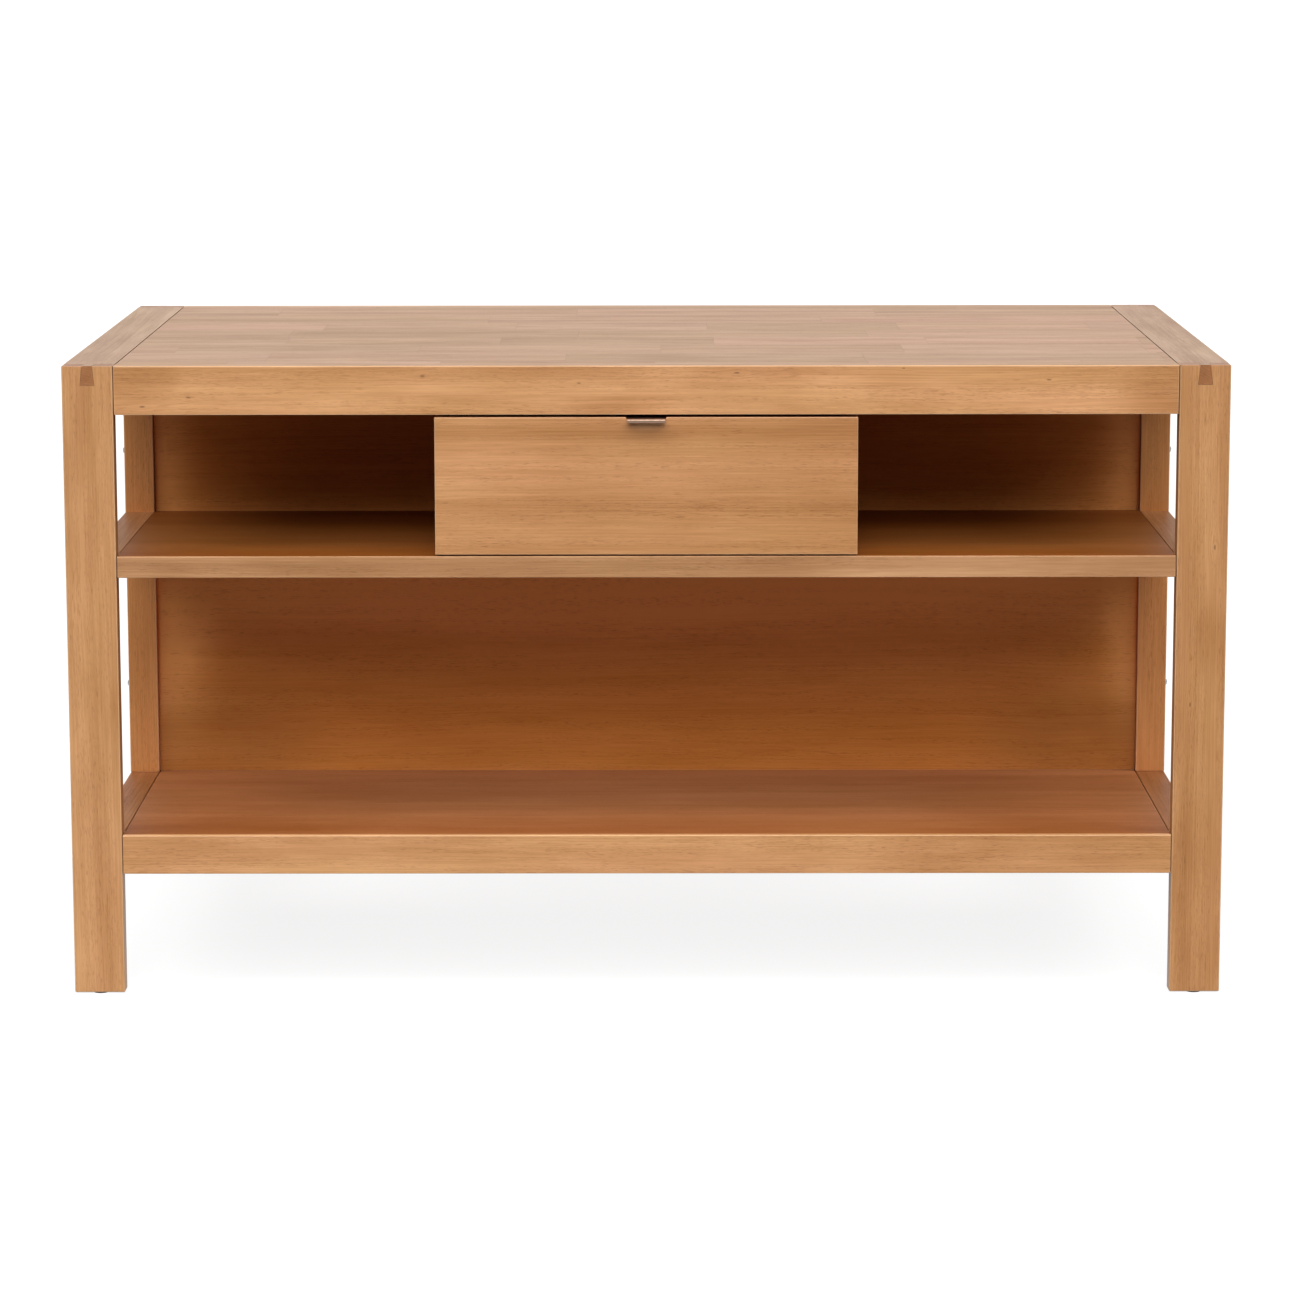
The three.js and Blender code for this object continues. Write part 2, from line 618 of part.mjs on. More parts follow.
// A channel open to one side: its web from one place to another, and the tips of its flanges
function channel(sign, web, tip, height) {
  const [back, face] = web.map((place) => sign * (DIVIDER_INNER - place));
  const edge = sign * (DIVIDER_INNER - tip);
  const high = RUNNER_CENTRE + height / 2;
  const low = RUNNER_CENTRE - height / 2;
  const outline = [
    [back, low], [edge, low], [edge, low + RUNNER_SHEET], [face, low + RUNNER_SHEET],
    [face, high - RUNNER_SHEET], [edge, high - RUNNER_SHEET], [edge, high], [back, high],
  ];
  return alongY(outline, [RUNNER_FRONT, RUNNER_BACK]);
}

function addRunner(side, sign, material) {
  const step = RUNNER_SHEET + RUNNER_PLAY;
  const fixedTip = RUNNER_DEPTH - RUNNER_LIP_SETBACK;
  add(`runner_fixed_${side}`, channel(sign, [0, RUNNER_SHEET], fixedTip, RUNNER_HEIGHT), material);
  const middleTip = RUNNER_DEPTH - step;
  const middleHeight = RUNNER_HEIGHT - 2 * step;
  add(`runner_middle_${side}`, channel(sign, [step, step + RUNNER_SHEET], middleTip, middleHeight), material);
  const web = [RUNNER_DEPTH, RUNNER_DEPTH - RUNNER_SHEET];
  add(`runner_drawer_${side}`, channel(sign, web, 2 * step, middleHeight - 2 * step), material);
}

// Drawer box, with its bottom let into grooves
const BOTTOM_FACE = BOX_BOTTOM + DRAWER_BOTTOM_RISE;
const BOTTOM_SPAN = [BOTTOM_FACE, BOTTOM_FACE + DRAWER_BOTTOM_THICKNESS];
const BOTTOM_END = BOX_INNER + DRAWER_GROOVE;
const BOX_FRONT_INSIDE = DRAWER_FRONT_BACK + DRAWER_WALL;
const BOX_BACK_INSIDE = BOX_BACK - DRAWER_WALL;
const BOTTOM_DEPTH = [BOX_FRONT_INSIDE - DRAWER_GROOVE, BOX_BACK_INSIDE + DRAWER_GROOVE];

function bottomGroove() {
  return mortise([-BOTTOM_END, BOTTOM_END], BOTTOM_DEPTH, BOTTOM_SPAN);
}

function addDrawerBox(material, bottomMaterial) {
  const z = [BOX_BOTTOM, BOX_TOP];
  for (const [side, sign] of SIDES) {
    const wall = squareBoard(onSide(sign, BOX_INNER, BOX_OUTER), [DRAWER_FRONT_BACK, BOX_BACK], z);
    add(`drawer_side_${side}`, wall.subtract(bottomGroove()), material);
  }
  const x = [-BOX_INNER, BOX_INNER];
  const front = squareBoard(x, [DRAWER_FRONT_BACK, BOX_FRONT_INSIDE], z);
  add('drawer_box_front', front.subtract(bottomGroove()), material);
  const back = squareBoard(x, [BOX_BACK_INSIDE, BOX_BACK], z);
  add('drawer_box_back', back.subtract(bottomGroove()), material);
  add('drawer_bottom', squareBoard([-BOTTOM_END, BOTTOM_END], BOTTOM_DEPTH, BOTTOM_SPAN), bottomMaterial);
}

function addDrawerFront(material) {
  const x = [-DRAWER_FRONT_END, DRAWER_FRONT_END];
  const y = [-HALF_DEPTH, DRAWER_FRONT_BACK];
  const notch = PULL_TOP - PULL_SHEET - FIT;
  let front = easedBoard(x, y, [DRAWER_FRONT_BOTTOM, DRAWER_FRONT_TOP])
    .subtract(squareBoard(about(0, PULL_WIDTH + 2 * PULL_SIDE_GAP), grown(y, OVERRUN),
      [notch, DRAWER_FRONT_TOP + OVERRUN]));
  for (const [, sign] of SIDES) {
    const pilot = rod(PULL_SCREW_DIAMETER / 2 + FIT, PULL_SCREW_LENGTH + OVERRUN);
    const from = DRAWER_FRONT_BACK + OVERRUN;
    front = front.subtract(pointAlongY(pilot, from, sign * PULL_SCREW_SPACING / 2, PULL_SCREW_HEIGHT));
  }
  add('drawer_front', front, material);
}

// The pull's section: a flange down the back of the front, a plate over it and a lip in front
function bend(centreY, centreZ, radius, from, to) {
  const points = [];
  for (let step = 0; step <= BEND_STEPS; step += 1) {
    const angle = from + (to - from) * step / BEND_STEPS;
    points.push([centreY + radius * Math.cos(angle), centreZ + radius * Math.sin(angle)]);
  }
  return points;
}

function pullOutline() {
  const outer = PULL_BEND + PULL_SHEET;
  const lipFace = -HALF_DEPTH - PULL_REACH;
  const flangeFace = DRAWER_FRONT_BACK + FIT + PULL_SHEET;
  const bendHeight = PULL_TOP - outer;
  const lipBend = lipFace + outer;
  const flangeBend = flangeFace - PULL_SHEET;
  const under = PULL_TOP - PULL_SHEET;
  return [
    [flangeBend, PULL_TOP - PULL_FLANGE],
    [flangeFace, PULL_TOP - PULL_FLANGE],
    ...bend(flangeFace - PULL_SHEET, under, PULL_SHEET, 0, Math.PI / 2),
    ...bend(lipBend, bendHeight, outer, Math.PI / 2, Math.PI),
    [lipFace, PULL_TOP - PULL_LIP],
    [lipFace + PULL_SHEET, PULL_TOP - PULL_LIP],
    ...bend(lipBend, bendHeight, PULL_BEND, Math.PI, Math.PI / 2),
    [flangeBend, under],
  ];
}

function addPull(material, screwMaterial) {
  let pull = alongX(pullOutline(), [-PULL_WIDTH / 2, PULL_WIDTH / 2]);
  const flangeFace = DRAWER_FRONT_BACK + FIT + PULL_SHEET;
  const head = PULL_SCREW_HEAD_DIAMETER / 2;
  const shank = PULL_SCREW_DIAMETER / 2;
  const tip = PULL_SCREW_LENGTH;
  const outline = [[0, -PULL_SCREW_HEAD_HEIGHT], [head, 0], [shank, 0], [shank, tip], [0, tip]];
  for (const [side, sign] of SIDES) {
    const x = sign * PULL_SCREW_SPACING / 2;
    const hole = rod(shank + FIT, PULL_SHEET + 2 * OVERRUN);
    pull = pull.subtract(pointAlongY(hole, flangeFace + OVERRUN, x, PULL_SCREW_HEIGHT));
    add(`pull_screw_${side}`, pointAlongY(turned(outline), flangeFace, x, PULL_SCREW_HEIGHT), screwMaterial);
  }
  add('drawer_pull', pull, material);
}

// Colours of the parts
const legWood = wood('#c49062');
const topWood = wood('#cba991');
const railWood = wood('#cf9868');
const shelfWood = wood('#b2835b');
const panelWood = wood('#9a6238');
const drawerWood = wood('#c18b5b');
const boxWood = wood('#d9bd94');
const brushedSteel = metal('#c9c4bd', 0.35);
const zincSteel = metal('#a9abad', 0.45);
const glideNylon = plastic('#6b5a4c');
const padFelt = plastic('#d8d4cc');

for (const [side, sign] of SIDES) {
  for (const [endName, end] of ENDS) {
    addLeg(side, sign, endName, end, legWood);
    addGlide(side, sign, endName, end, glideNylon);
  }
  addEndRail(side, sign, topWood);
  addTopBearer(side, sign, railWood);
  addMidSideRail(side, sign, railWood);
  addLowerSideRail(side, sign, railWood);
  addPost(side, sign, legWood);
  addPostBolt(`post_bolt_upper_${side}`, sign, UPPER_BOLT_HEIGHT, zincSteel);
  addPostBolt(`post_bolt_lower_${side}`, sign, LOWER_BOLT_HEIGHT, zincSteel);
  addPanelSleeve(`panel_sleeve_upper_${side}`, sign, UPPER_BOLT_HEIGHT, zincSteel);
  addPanelSleeve(`panel_sleeve_lower_${side}`, sign, LOWER_BOLT_HEIGHT, zincSteel);
  addDivider(side, sign, panelWood);
  addPad(side, sign, padFelt);
  addRunner(side, sign, zincSteel);
}
for (const [endName, end] of ENDS) {
  addApron(endName, end, railWood);
}
addTabletop(topWood);
addMidShelf(shelfWood);
addLowerShelf(panelWood);
addLowerFrontRail(railWood);
addLowerBackRail(railWood);
addCleats(railWood);
addBackPanel(panelWood);
addCentreBearer(railWood);
addDrawerFront(drawerWood);
addDrawerBox(boxWood, boxWood);
addPull(brushedSteel, zincSteel);

export default island;
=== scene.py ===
"""Finishes of the hardwood kitchen island, with its studio and its camera."""

import json
import logging
import math
from dataclasses import dataclass
from enum import Enum
from typing import Any, Callable, Sequence

import bpy
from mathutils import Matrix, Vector


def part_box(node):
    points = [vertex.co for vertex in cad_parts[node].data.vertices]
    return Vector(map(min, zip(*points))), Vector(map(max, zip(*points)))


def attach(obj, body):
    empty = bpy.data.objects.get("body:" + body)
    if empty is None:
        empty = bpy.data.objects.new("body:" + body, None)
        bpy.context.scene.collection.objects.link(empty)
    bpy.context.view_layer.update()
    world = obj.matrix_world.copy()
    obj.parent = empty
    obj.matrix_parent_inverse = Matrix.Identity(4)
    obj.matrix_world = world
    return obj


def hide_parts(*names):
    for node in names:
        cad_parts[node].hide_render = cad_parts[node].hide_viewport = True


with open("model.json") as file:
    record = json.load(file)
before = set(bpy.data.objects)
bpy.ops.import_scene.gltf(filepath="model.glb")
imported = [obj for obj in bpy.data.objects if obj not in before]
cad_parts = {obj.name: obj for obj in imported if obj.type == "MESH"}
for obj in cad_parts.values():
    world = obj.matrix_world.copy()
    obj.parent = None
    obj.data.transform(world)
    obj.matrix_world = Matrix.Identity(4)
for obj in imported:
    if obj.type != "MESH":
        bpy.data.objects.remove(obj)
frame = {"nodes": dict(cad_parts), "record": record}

LOG = logging.getLogger("island")
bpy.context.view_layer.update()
MM = 0.001

Colour = tuple[float, float, float, float]
Socket = bpy.types.NodeSocket
Piece = bpy.types.Object
Look = Callable[[Vector, Vector], float | None]
Test = Callable[[Vector, Vector], bool]


def paint(red: float, green: float, blue: float) -> Colour:
    """Turns a colour as it shows on a screen into the linear one that shaders use.

    Args:
        red, green, blue: The screen's values, from 0 to 255.

    Returns:
        The linear colour with an alpha of one.
    """
    def linear(value: float) -> float:
        """Undoes the screen's curve for one channel."""
        share = value / 255
        return share / 12.92 if share <= 0.04045 else ((share + 0.055) / 1.055) ** 2.4
    return linear(red), linear(green), linear(blue), 1.0


PORE_BROWN = paint(150, 108, 74)
KNOT_BROWN = paint(96, 56, 30)
# The brown in the seams is painted shade, where the gaps between boards fall dark.
SEAM_SHADE_BROWN = paint(92, 48, 20)
END_GRAIN = paint(214, 190, 176)
# The pale colour of rounded edges: partly sanded wear, partly a painted highlight.
SANDED_EDGE_AND_HIGHLIGHT = paint(250, 216, 176)
WHITE = (1.0, 1.0, 1.0, 1.0)
BLACK = (0.0, 0.0, 0.0, 1.0)
FRONT = -0.45


def trimmed(low: Vector, high: Vector, axis: int, start: float, stop: float) -> tuple[Vector, Vector]:
    """Gives a box's corners with another stretch along one axis.

    Args:
        low, high: The box's corners.
        axis: The axis, as 0, 1 or 2.
        start, stop: The ends of the new stretch, in either order.

    Returns:
        The new corners.
    """
    near, far = Vector(low), Vector(high)
    near[axis], far[axis] = sorted((start, stop))
    return near, far


class Side(Enum):
    """One end of the island."""

    LEFT = -1
    RIGHT = 1

    @property
    def label(self) -> str:
        """The word that node names use for this end."""
        return self.name.lower()


class Run(Enum):
    """The axis that a board's grain runs along, with the order that puts it first."""

    X = (0, 1, 2)
    Y = (1, 0, 2)
    Z = (2, 0, 1)


class Bench:
    """Hand tools that work on one piece through Blender's operators."""

    @staticmethod
    def clear() -> None:
        """Leaves edit mode and deselects every object."""
        if bpy.context.object and bpy.context.object.mode != "OBJECT":
            bpy.ops.object.mode_set(mode="OBJECT")
        bpy.ops.object.select_all(action="DESELECT")

    @staticmethod
    def take(piece: Piece) -> None:
        """Makes one piece the only selected and the active object."""
        Bench.clear()
        piece.select_set(True)
        bpy.context.view_layer.objects.active = piece

    @staticmethod
    def settle(name: str) -> Piece:
        """Names the newly added object and moves its place into its mesh.

        Args:
            name: The piece's name.

        Returns:
            The piece, at the origin, unturned and unscaled.
        """
        piece = bpy.context.object
        piece.name = name
        bpy.ops.object.transform_apply(location=True, rotation=True, scale=True)
        return piece

    @staticmethod
    def board(name: str, low: Vector, high: Vector) -> Piece:
        """Adds a square-edged board between two corners."""
        Bench.clear()
        bpy.ops.mesh.primitive_cube_add(size=1, location=(low + high) / 2, scale=high - low)
        return Bench.settle(name)

    @staticmethod
    def rod(name: str, centre: Vector, radius: float, length: float, run: Run, sides: int = 48) -> Piece:
        """Adds a round bar with its middle at a place.

        Args:
            name: The piece's name.
            centre: The middle of the bar.
            radius: The bar's radius.
            length: The bar's length.
            run: The axis that the bar lies along.
            sides: How many flats go round it.

        Returns:
            The bar.
        """
        turn = {Run.X: (0, math.pi / 2, 0), Run.Y: (math.pi / 2, 0, 0), Run.Z: (0, 0, 0)}[run]
        Bench.clear()
        bpy.ops.mesh.primitive_cylinder_add(
            vertices=sides, radius=radius, depth=length, location=centre, rotation=turn)
        return Bench.settle(name)

    @staticmethod
    def done() -> None:
        """Leaves edit mode."""
        bpy.ops.object.mode_set(mode="OBJECT")

    @staticmethod
    def pick_all(piece: Piece, action: str = "SELECT", kind: str = "FACE") -> None:
        """Enters edit mode with all or none of a piece selected.

        Args:
            piece: The piece to work on.
            action: SELECT or DESELECT.
            kind: What is picked from then on, FACE or EDGE.
        """
        Bench.take(piece)
        bpy.ops.object.mode_set(mode="EDIT")
        bpy.ops.mesh.select_mode(type=kind)
        bpy.ops.mesh.select_all(action=action)

    @staticmethod
    def pick_faces(piece: Piece, test: Test) -> None:
        """Enters edit mode with only the faces selected whose centre and normal pass a test."""
        Bench.pick_all(piece, "DESELECT")
        Bench.done()
        for face in piece.data.polygons:
            face.select = test(face.center, face.normal)
        bpy.ops.object.mode_set(mode="EDIT")

    @staticmethod
    def pick_edges(piece: Piece, test: Test) -> None:
        """Enters edit mode with only the edges selected whose two ends pass a test."""
        Bench.pick_all(piece, "DESELECT", "EDGE")
        Bench.done()
        points = [vertex.co.copy() for vertex in piece.data.vertices]
        for edge in piece.data.edges:
            edge.select = test(*(points[index] for index in edge.vertices))
        bpy.ops.object.mode_set(mode="EDIT")

    @staticmethod
    def ease(piece: Piece, radius: float, steps: int = 3,
             test: Test = lambda a, b: True) -> None:
        """Rounds the picked edges, as a sanding block would.

        Args:
            piece: The piece to work on.
            radius: The radius of the rounding.
            steps: How many flats make the rounding.
            test: Says which edges, by their two ends.
        """
        Bench.pick_edges(piece, test)
        bpy.ops.mesh.bevel(offset=radius, segments=steps, profile=0.5, affect="EDGES")
        Bench.done()

    @staticmethod
    def divide(piece: Piece, height: float) -> None:
        """Divides a piece's faces at one height and leaves the piece whole."""
        Bench.pick_all(piece)
        bpy.ops.mesh.bisect(plane_co=(0, 0, height), plane_no=(0, 0, 1))
        Bench.done()

    @staticmethod
    def end_face(piece: Piece, outward: Vector) -> tuple[Vector, Vector, Vector]:
        """Finds the largest flat face on one end of a board.

        Args:
            piece: The board.
            outward: The way that this end points, along one axis.

        Returns:
            The face's own centre, by which it is picked, and the corners of the box round it.
        """
        faces = [face for face in piece.data.polygons if face.normal.dot(outward) > 0.99]
        reach = max(face.center.dot(outward) for face in faces)
        ends = [face for face in faces if face.center.dot(outward) > reach - 0.01 * MM]
        end = max(ends, key=lambda face: face.area)
        corners = [piece.data.vertices[index].co for index in end.vertices]
        low = Vector([min(corner[i] for corner in corners) for i in range(3)])
        high = Vector([max(corner[i] for corner in corners) for i in range(3)])
        return end.center.copy(), low, high

    @staticmethod
    def tenon(piece: Piece, outward: Vector, low: Vector, high: Vector) -> None:
        """Draws a tenon out of the largest flat face on one end of a board.

        Args:
            piece: The board.
            outward: The way that the tenon points, along one axis.
            low, high: The tenon's corners.
        """
        picked, start, stop = Bench.end_face(piece, outward)
        end, middle = (start + stop) / 2, (low + high) / 2
        size, root = stop - start, high - low
        across = [abs(part) < 0.5 for part in outward]
        scale = [root[i] / size[i] if across[i] else 1 for i in range(3)]
        sideways = Vector([middle[i] - end[i] if across[i] else 0 for i in range(3)])
        Bench.pick_faces(piece, lambda centre, normal: (centre - picked).length < 0.001 * MM)
        bpy.ops.mesh.extrude_region_move(TRANSFORM_OT_translate={"value": (0, 0, 0)})
        bpy.ops.transform.resize(value=scale, center_override=end)
        bpy.ops.transform.translate(value=sideways)
        length = abs(root.dot(outward))
        bpy.ops.mesh.extrude_region_move(TRANSFORM_OT_translate={"value": outward * length})
        Bench.done()

    @staticmethod
    def house(piece: Piece, outward: Vector, low: Vector, high: Vector, root: float) -> None:
        """Draws a tenon out of a board's end behind a root that is nearly as large as the board.

        Args:
            piece: The board.
            outward: The way that the tenon points, along X.
            low, high: The tenon's corners.
            root: How long the root is, which fills the seam between the board and what it joins.
        """
        _, start, stop = Bench.end_face(piece, outward)
        inset = Vector((0, 1, 1)) * (1.6 * MM)
        seam = start.x + outward.x * root
        tip = low.x if outward.x < 0 else high.x
        Bench.tenon(piece, outward, *trimmed(start + inset, stop - inset, 0, start.x, seam))
        Bench.tenon(piece, outward, *trimmed(low, high, 0, seam, tip))

    @staticmethod
    def house_ends(piece: Piece, low: Vector, high: Vector, half: float, inset: Vector) -> None:
        """Draws a housed tenon out of both ends of a board that runs from leg to leg.

        Args:
            piece: The board.
            low, high: The corners of the box round the board with its tenons.
            half: Half the board's length without them.
            inset: How far the tenons' sides lie inside that box.
        """
        root = abs(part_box("front_leg_right")[0].x) - half
        for end, tip in ((-1, low.x), (1, high.x)):
            near, far = trimmed(low + inset, high - inset, 0, end * half, tip)
            Bench.house(piece, Vector((end, 0, 0)), near, far, root)

    @staticmethod
    def combine(piece: Piece, tool: Piece, how: str) -> None:
        """Cuts one piece with another, or joins them, and throws the other away.

        Args:
            piece: The piece that is kept.
            tool: The piece that cuts it or is joined to it.
            how: DIFFERENCE or UNION.
        """
        Bench.take(piece)
        cut = piece.modifiers.new("cut", "BOOLEAN")
        cut.operation = how
        cut.solver = "EXACT"
        cut.object = tool
        bpy.ops.object.modifier_apply(modifier=cut.name)
        bpy.data.objects.remove(tool, do_unlink=True)

    @staticmethod
    def round_look(piece: Piece, angle: float = 40) -> None:
        """Shades a round piece smoothly across its shallow edges."""
        Bench.take(piece)
        bpy.ops.object.shade_smooth_by_angle(angle=math.radians(angle))

    @staticmethod
    def mark_edges(piece: Piece, look: Look) -> None:
        """Stores on each face how pale it is as a rounded edge, with sanded wear and a painted highlight, or
        how much painted shade it takes as part of a seam.

        Args:
            piece: The piece.
            look: Gives some faces a value of their own, by their centre and normal.
        """
        values = []
        for face in piece.data.polygons:
            rounded = max(abs(part) for part in face.normal) < 0.9995
            own = look(face.center, face.normal)
            values.append(float(rounded) if own is None else own)
        piece.data.attributes.new("arris", "FLOAT", "FACE").data.foreach_set("value", values)


class Tree:
    """A node tree, with short calls that add its nodes and join them."""

    def __init__(self, tree: bpy.types.NodeTree) -> None:
        """Empties the tree."""
        self.tree = tree
        self.tree.nodes.clear()

    def add(self, kind: str, settings: dict[str, Any] | None = None,
            inputs: dict[str | int, Any] | None = None) -> bpy.types.Node:
        """Adds a node.

        Args:
            kind: The node's type.
            settings: Values of its properties.
            inputs: What goes into its sockets, as numbers or as other nodes' outputs.

        Returns:
            The new node.
        """
        node = self.tree.nodes.new(kind)
        for name, value in (settings or {}).items():
            setattr(node, name, value)
        for key, value in (inputs or {}).items():
            if isinstance(value, Socket):
                self.tree.links.new(value, node.inputs[key])
            else:
                node.inputs[key].default_value = value
        return node

    def maths(self, operation: str, first: Any, second: Any = 0.0, third: Any = 0.0) -> Socket:
        """Works out one number from up to three others."""
        node = self.add("ShaderNodeMath", {"operation": operation}, {0: first, 1: second, 2: third})
        return node.outputs[0]

    def times(self, first: Any, second: Any) -> Socket:
        """Multiplies two numbers."""
        return self.maths("MULTIPLY", first, second)

    def plus(self, first: Any, second: Any) -> Socket:
        """Adds two numbers."""
        return self.maths("ADD", first, second)

    def minus(self, first: Any, second: Any) -> Socket:
        """Takes the second number from the first."""
        return self.maths("SUBTRACT", first, second)

    def vector(self, operation: str, first: Any, second: Any) -> Socket:
        """Works out a vector, or a length, from two vectors."""
        node = self.add("ShaderNodeVectorMath", {"operation": operation}, {0: first, 1: second})
        return node.outputs["Value" if operation in ("LENGTH", "DISTANCE", "DOT_PRODUCT") else "Vector"]

    def scaled(self, first: Any, second: Any) -> Socket:
        """Multiplies two vectors, axis by axis."""
        return self.vector("MULTIPLY", first, second)

    def length(self, vector: Socket) -> Socket:
        """Gives a vector's length."""
        return self.vector("LENGTH", vector, (0, 0, 0))

    def split(self, vector: Socket) -> list[Socket]:
        """Takes a vector apart."""
        return list(self.add("ShaderNodeSeparateXYZ", inputs={0: vector}).outputs)

    def join(self, x: Any, y: Any, z: Any) -> Socket:
        """Puts a vector together."""
        return self.add("ShaderNodeCombineXYZ", inputs={0: x, 1: y, 2: z}).outputs[0]

    def noise(self, place: Socket, along: float, across: float, detail: float = 2,
              roughness: float = 0.5, colour: bool = False) -> Socket:
        """Adds cloudy noise, stretched along the first axis.

        Args:
            place: The coordinates.
            along: Clouds per metre along the first axis.
            across: Clouds per metre along the other two.
            detail: How many finer layers lie on the first.
            roughness: How strong the finer layers are.
            colour: Whether to return three values and not one.

        Returns:
            The noise, around a half.
        """
        node = self.add("ShaderNodeTexNoise", inputs={
            "Vector": self.scaled(place, (along, across, across)), "Scale": 1.0, "Detail": detail,
            "Roughness": roughness})
        return node.outputs["Color" if colour else "Fac"]

    def drift(self, place: Socket, along: float, across: float, detail: float, reach: float) -> Socket:
        """Gives a random shift across the grain that changes from place to place."""
        cloud = self.noise(place, along, across, detail, colour=True)
        return self.scaled(self.vector("SUBTRACT", cloud, (0.5, 0.5, 0.5)), (0.0, reach, reach))

    def mottled(self, place: Socket, colour: Colour, clouds: float, darkest: float) -> Socket:
        """Clouds a plain colour a little.

        Args:
            place: The coordinates.
            colour: The colour.
            clouds: Clouds per metre.
            darkest: The share of the colour that is left in the darkest cloud.

        Returns:
            The clouded colour.
        """
        cloud = self.noise(place, clouds, clouds, 3, 0.6)
        shade = self.remap(cloud, 0.3, 0.7, darkest, 1.0, smooth=False)
        return self.blend(1.0, colour, self.join(shade, shade, shade), "MULTIPLY")

    def remap(self, value: Socket, low: float, high: float, to_low: float = 0.0,
              to_high: float = 1.0, smooth: bool = True) -> Socket:
        """Stretches a range of values onto another and clamps the rest."""
        how = {"interpolation_type": "SMOOTHSTEP" if smooth else "LINEAR"}
        node = self.add("ShaderNodeMapRange", how, {
            "Value": value, "From Min": low, "From Max": high, "To Min": to_low, "To Max": to_high})
        return node.outputs["Result"]

    def ramp(self, factor: Socket, stops: Sequence[tuple[float, Colour]], how: str = "LINEAR") -> Socket:
        """Looks a value up in a row of colours."""
        node = self.add("ShaderNodeValToRGB", inputs={0: factor})
        node.color_ramp.interpolation = how
        elements = node.color_ramp.elements
        while len(elements) < len(stops):
            elements.new(0.5)
        for element, (place, colour) in zip(elements, stops):
            element.position = place
            element.color = colour
        return node.outputs["Color"]

    def blend(self, factor: Any, first: Any, second: Any, how: str = "MIX") -> Socket:
        """Mixes two colours."""
        node = self.add("ShaderNodeMix", {"data_type": "RGBA", "blend_type": how},
                        {0: factor, 6: first, 7: second})
        return node.outputs[2]

    def random(self, place: Socket) -> Socket:
        """Gives a random colour that is the same all over one cell."""
        node = self.add("ShaderNodeTexWhiteNoise", {"noise_dimensions": "3D"}, {"Vector": place})
        return node.outputs["Color"]


class Sheet(Tree):
    """One material's node tree."""

    def __init__(self, name: str) -> None:
        """Starts a material with nothing but its output."""
        self.material = bpy.data.materials.new(name)
        self.material.use_nodes = True
        super().__init__(self.material.node_tree)
        self.output = self.tree.nodes.new("ShaderNodeOutputMaterial")

    def place(self) -> Socket:
        """Gives each point's place in the island, with the island unmoved and unturned.

        Returns:
            The place, in metres.
        """
        source = self.add("ShaderNodeTexCoord")
        return self.add("ShaderNodeMapping", inputs={"Vector": source.outputs["Object"]}).outputs[0]

    def finish(self, colour: Socket, roughness: Any, height: Socket, depth: float,
               others: dict[str, Any]) -> bpy.types.Material:
        """Joins the worked-out values to a surface.

        Args:
            colour: The surface's colour.
            roughness: Its roughness.
            height: Its relief, from 0 to 1.
            depth: How deep that relief is, in metres.
            others: What goes into the shader's other sockets, by their names.

        Returns:
            The finished material.
        """
        bump = self.add("ShaderNodeBump", inputs={"Strength": 1.0, "Distance": depth, "Height": height})
        surface = self.add("ShaderNodeBsdfPrincipled", inputs={
            "Base Color": colour, "Roughness": roughness, "Normal": bump.outputs[0], **others})
        self.tree.links.new(surface.outputs[0], self.output.inputs["Surface"])
        return self.material


@dataclass(frozen=True)
class Knot:
    """A small pin knot on the island's front, given by its place and its radius."""

    x: float
    z: float
    radius: float


@dataclass(frozen=True)
class Patch:
    """A broad soft spot that is darker or paler than the rest of its board, either in the wood's own tone or
    as painted light and shade.

    Attributes:
        place: Its middle in the island.
        size: Half its length along each axis.
        tone: How much darker it is, or paler where this is below zero.
    """

    place: tuple[float, float, float]
    size: tuple[float, float, float]
    tone: float

    @classmethod
    def front(cls, x: float, z: float, wide: float, high: float, tone: float) -> "Patch":
        """Gives a spot on the island's front."""
        return cls((x, FRONT, z), (wide, 0.3, high), tone)

    @classmethod
    def panel(cls, x: float, z: float, wide: float, high: float, tone: float) -> "Patch":
        """Gives a spot on the panel between the posts, as painted light and shade."""
        return cls((x, 0.0, z), (wide, 0.019, high), tone)


@dataclass(frozen=True)
class Staves:
    """How a glued board is made up of staves, side by side and end to end.

    Attributes:
        width: The width of one row of staves.
        start: Where one row's edge lies.
        shortest, longest: The lengths of the staves.
        contrast: How much their tones differ.
    """

    width: float
    start: float
    shortest: float
    longest: float
    contrast: float


@dataclass(frozen=True)
class Bands:
    """Long streaks that run through a board from end to end.

    Attributes:
        low, high: The stretch across the grain that they lie in.
        stops: Places in that stretch, as shares of it, with how dark the board is there.
    """

    low: float
    high: float
    stops: tuple[tuple[float, float], ...]


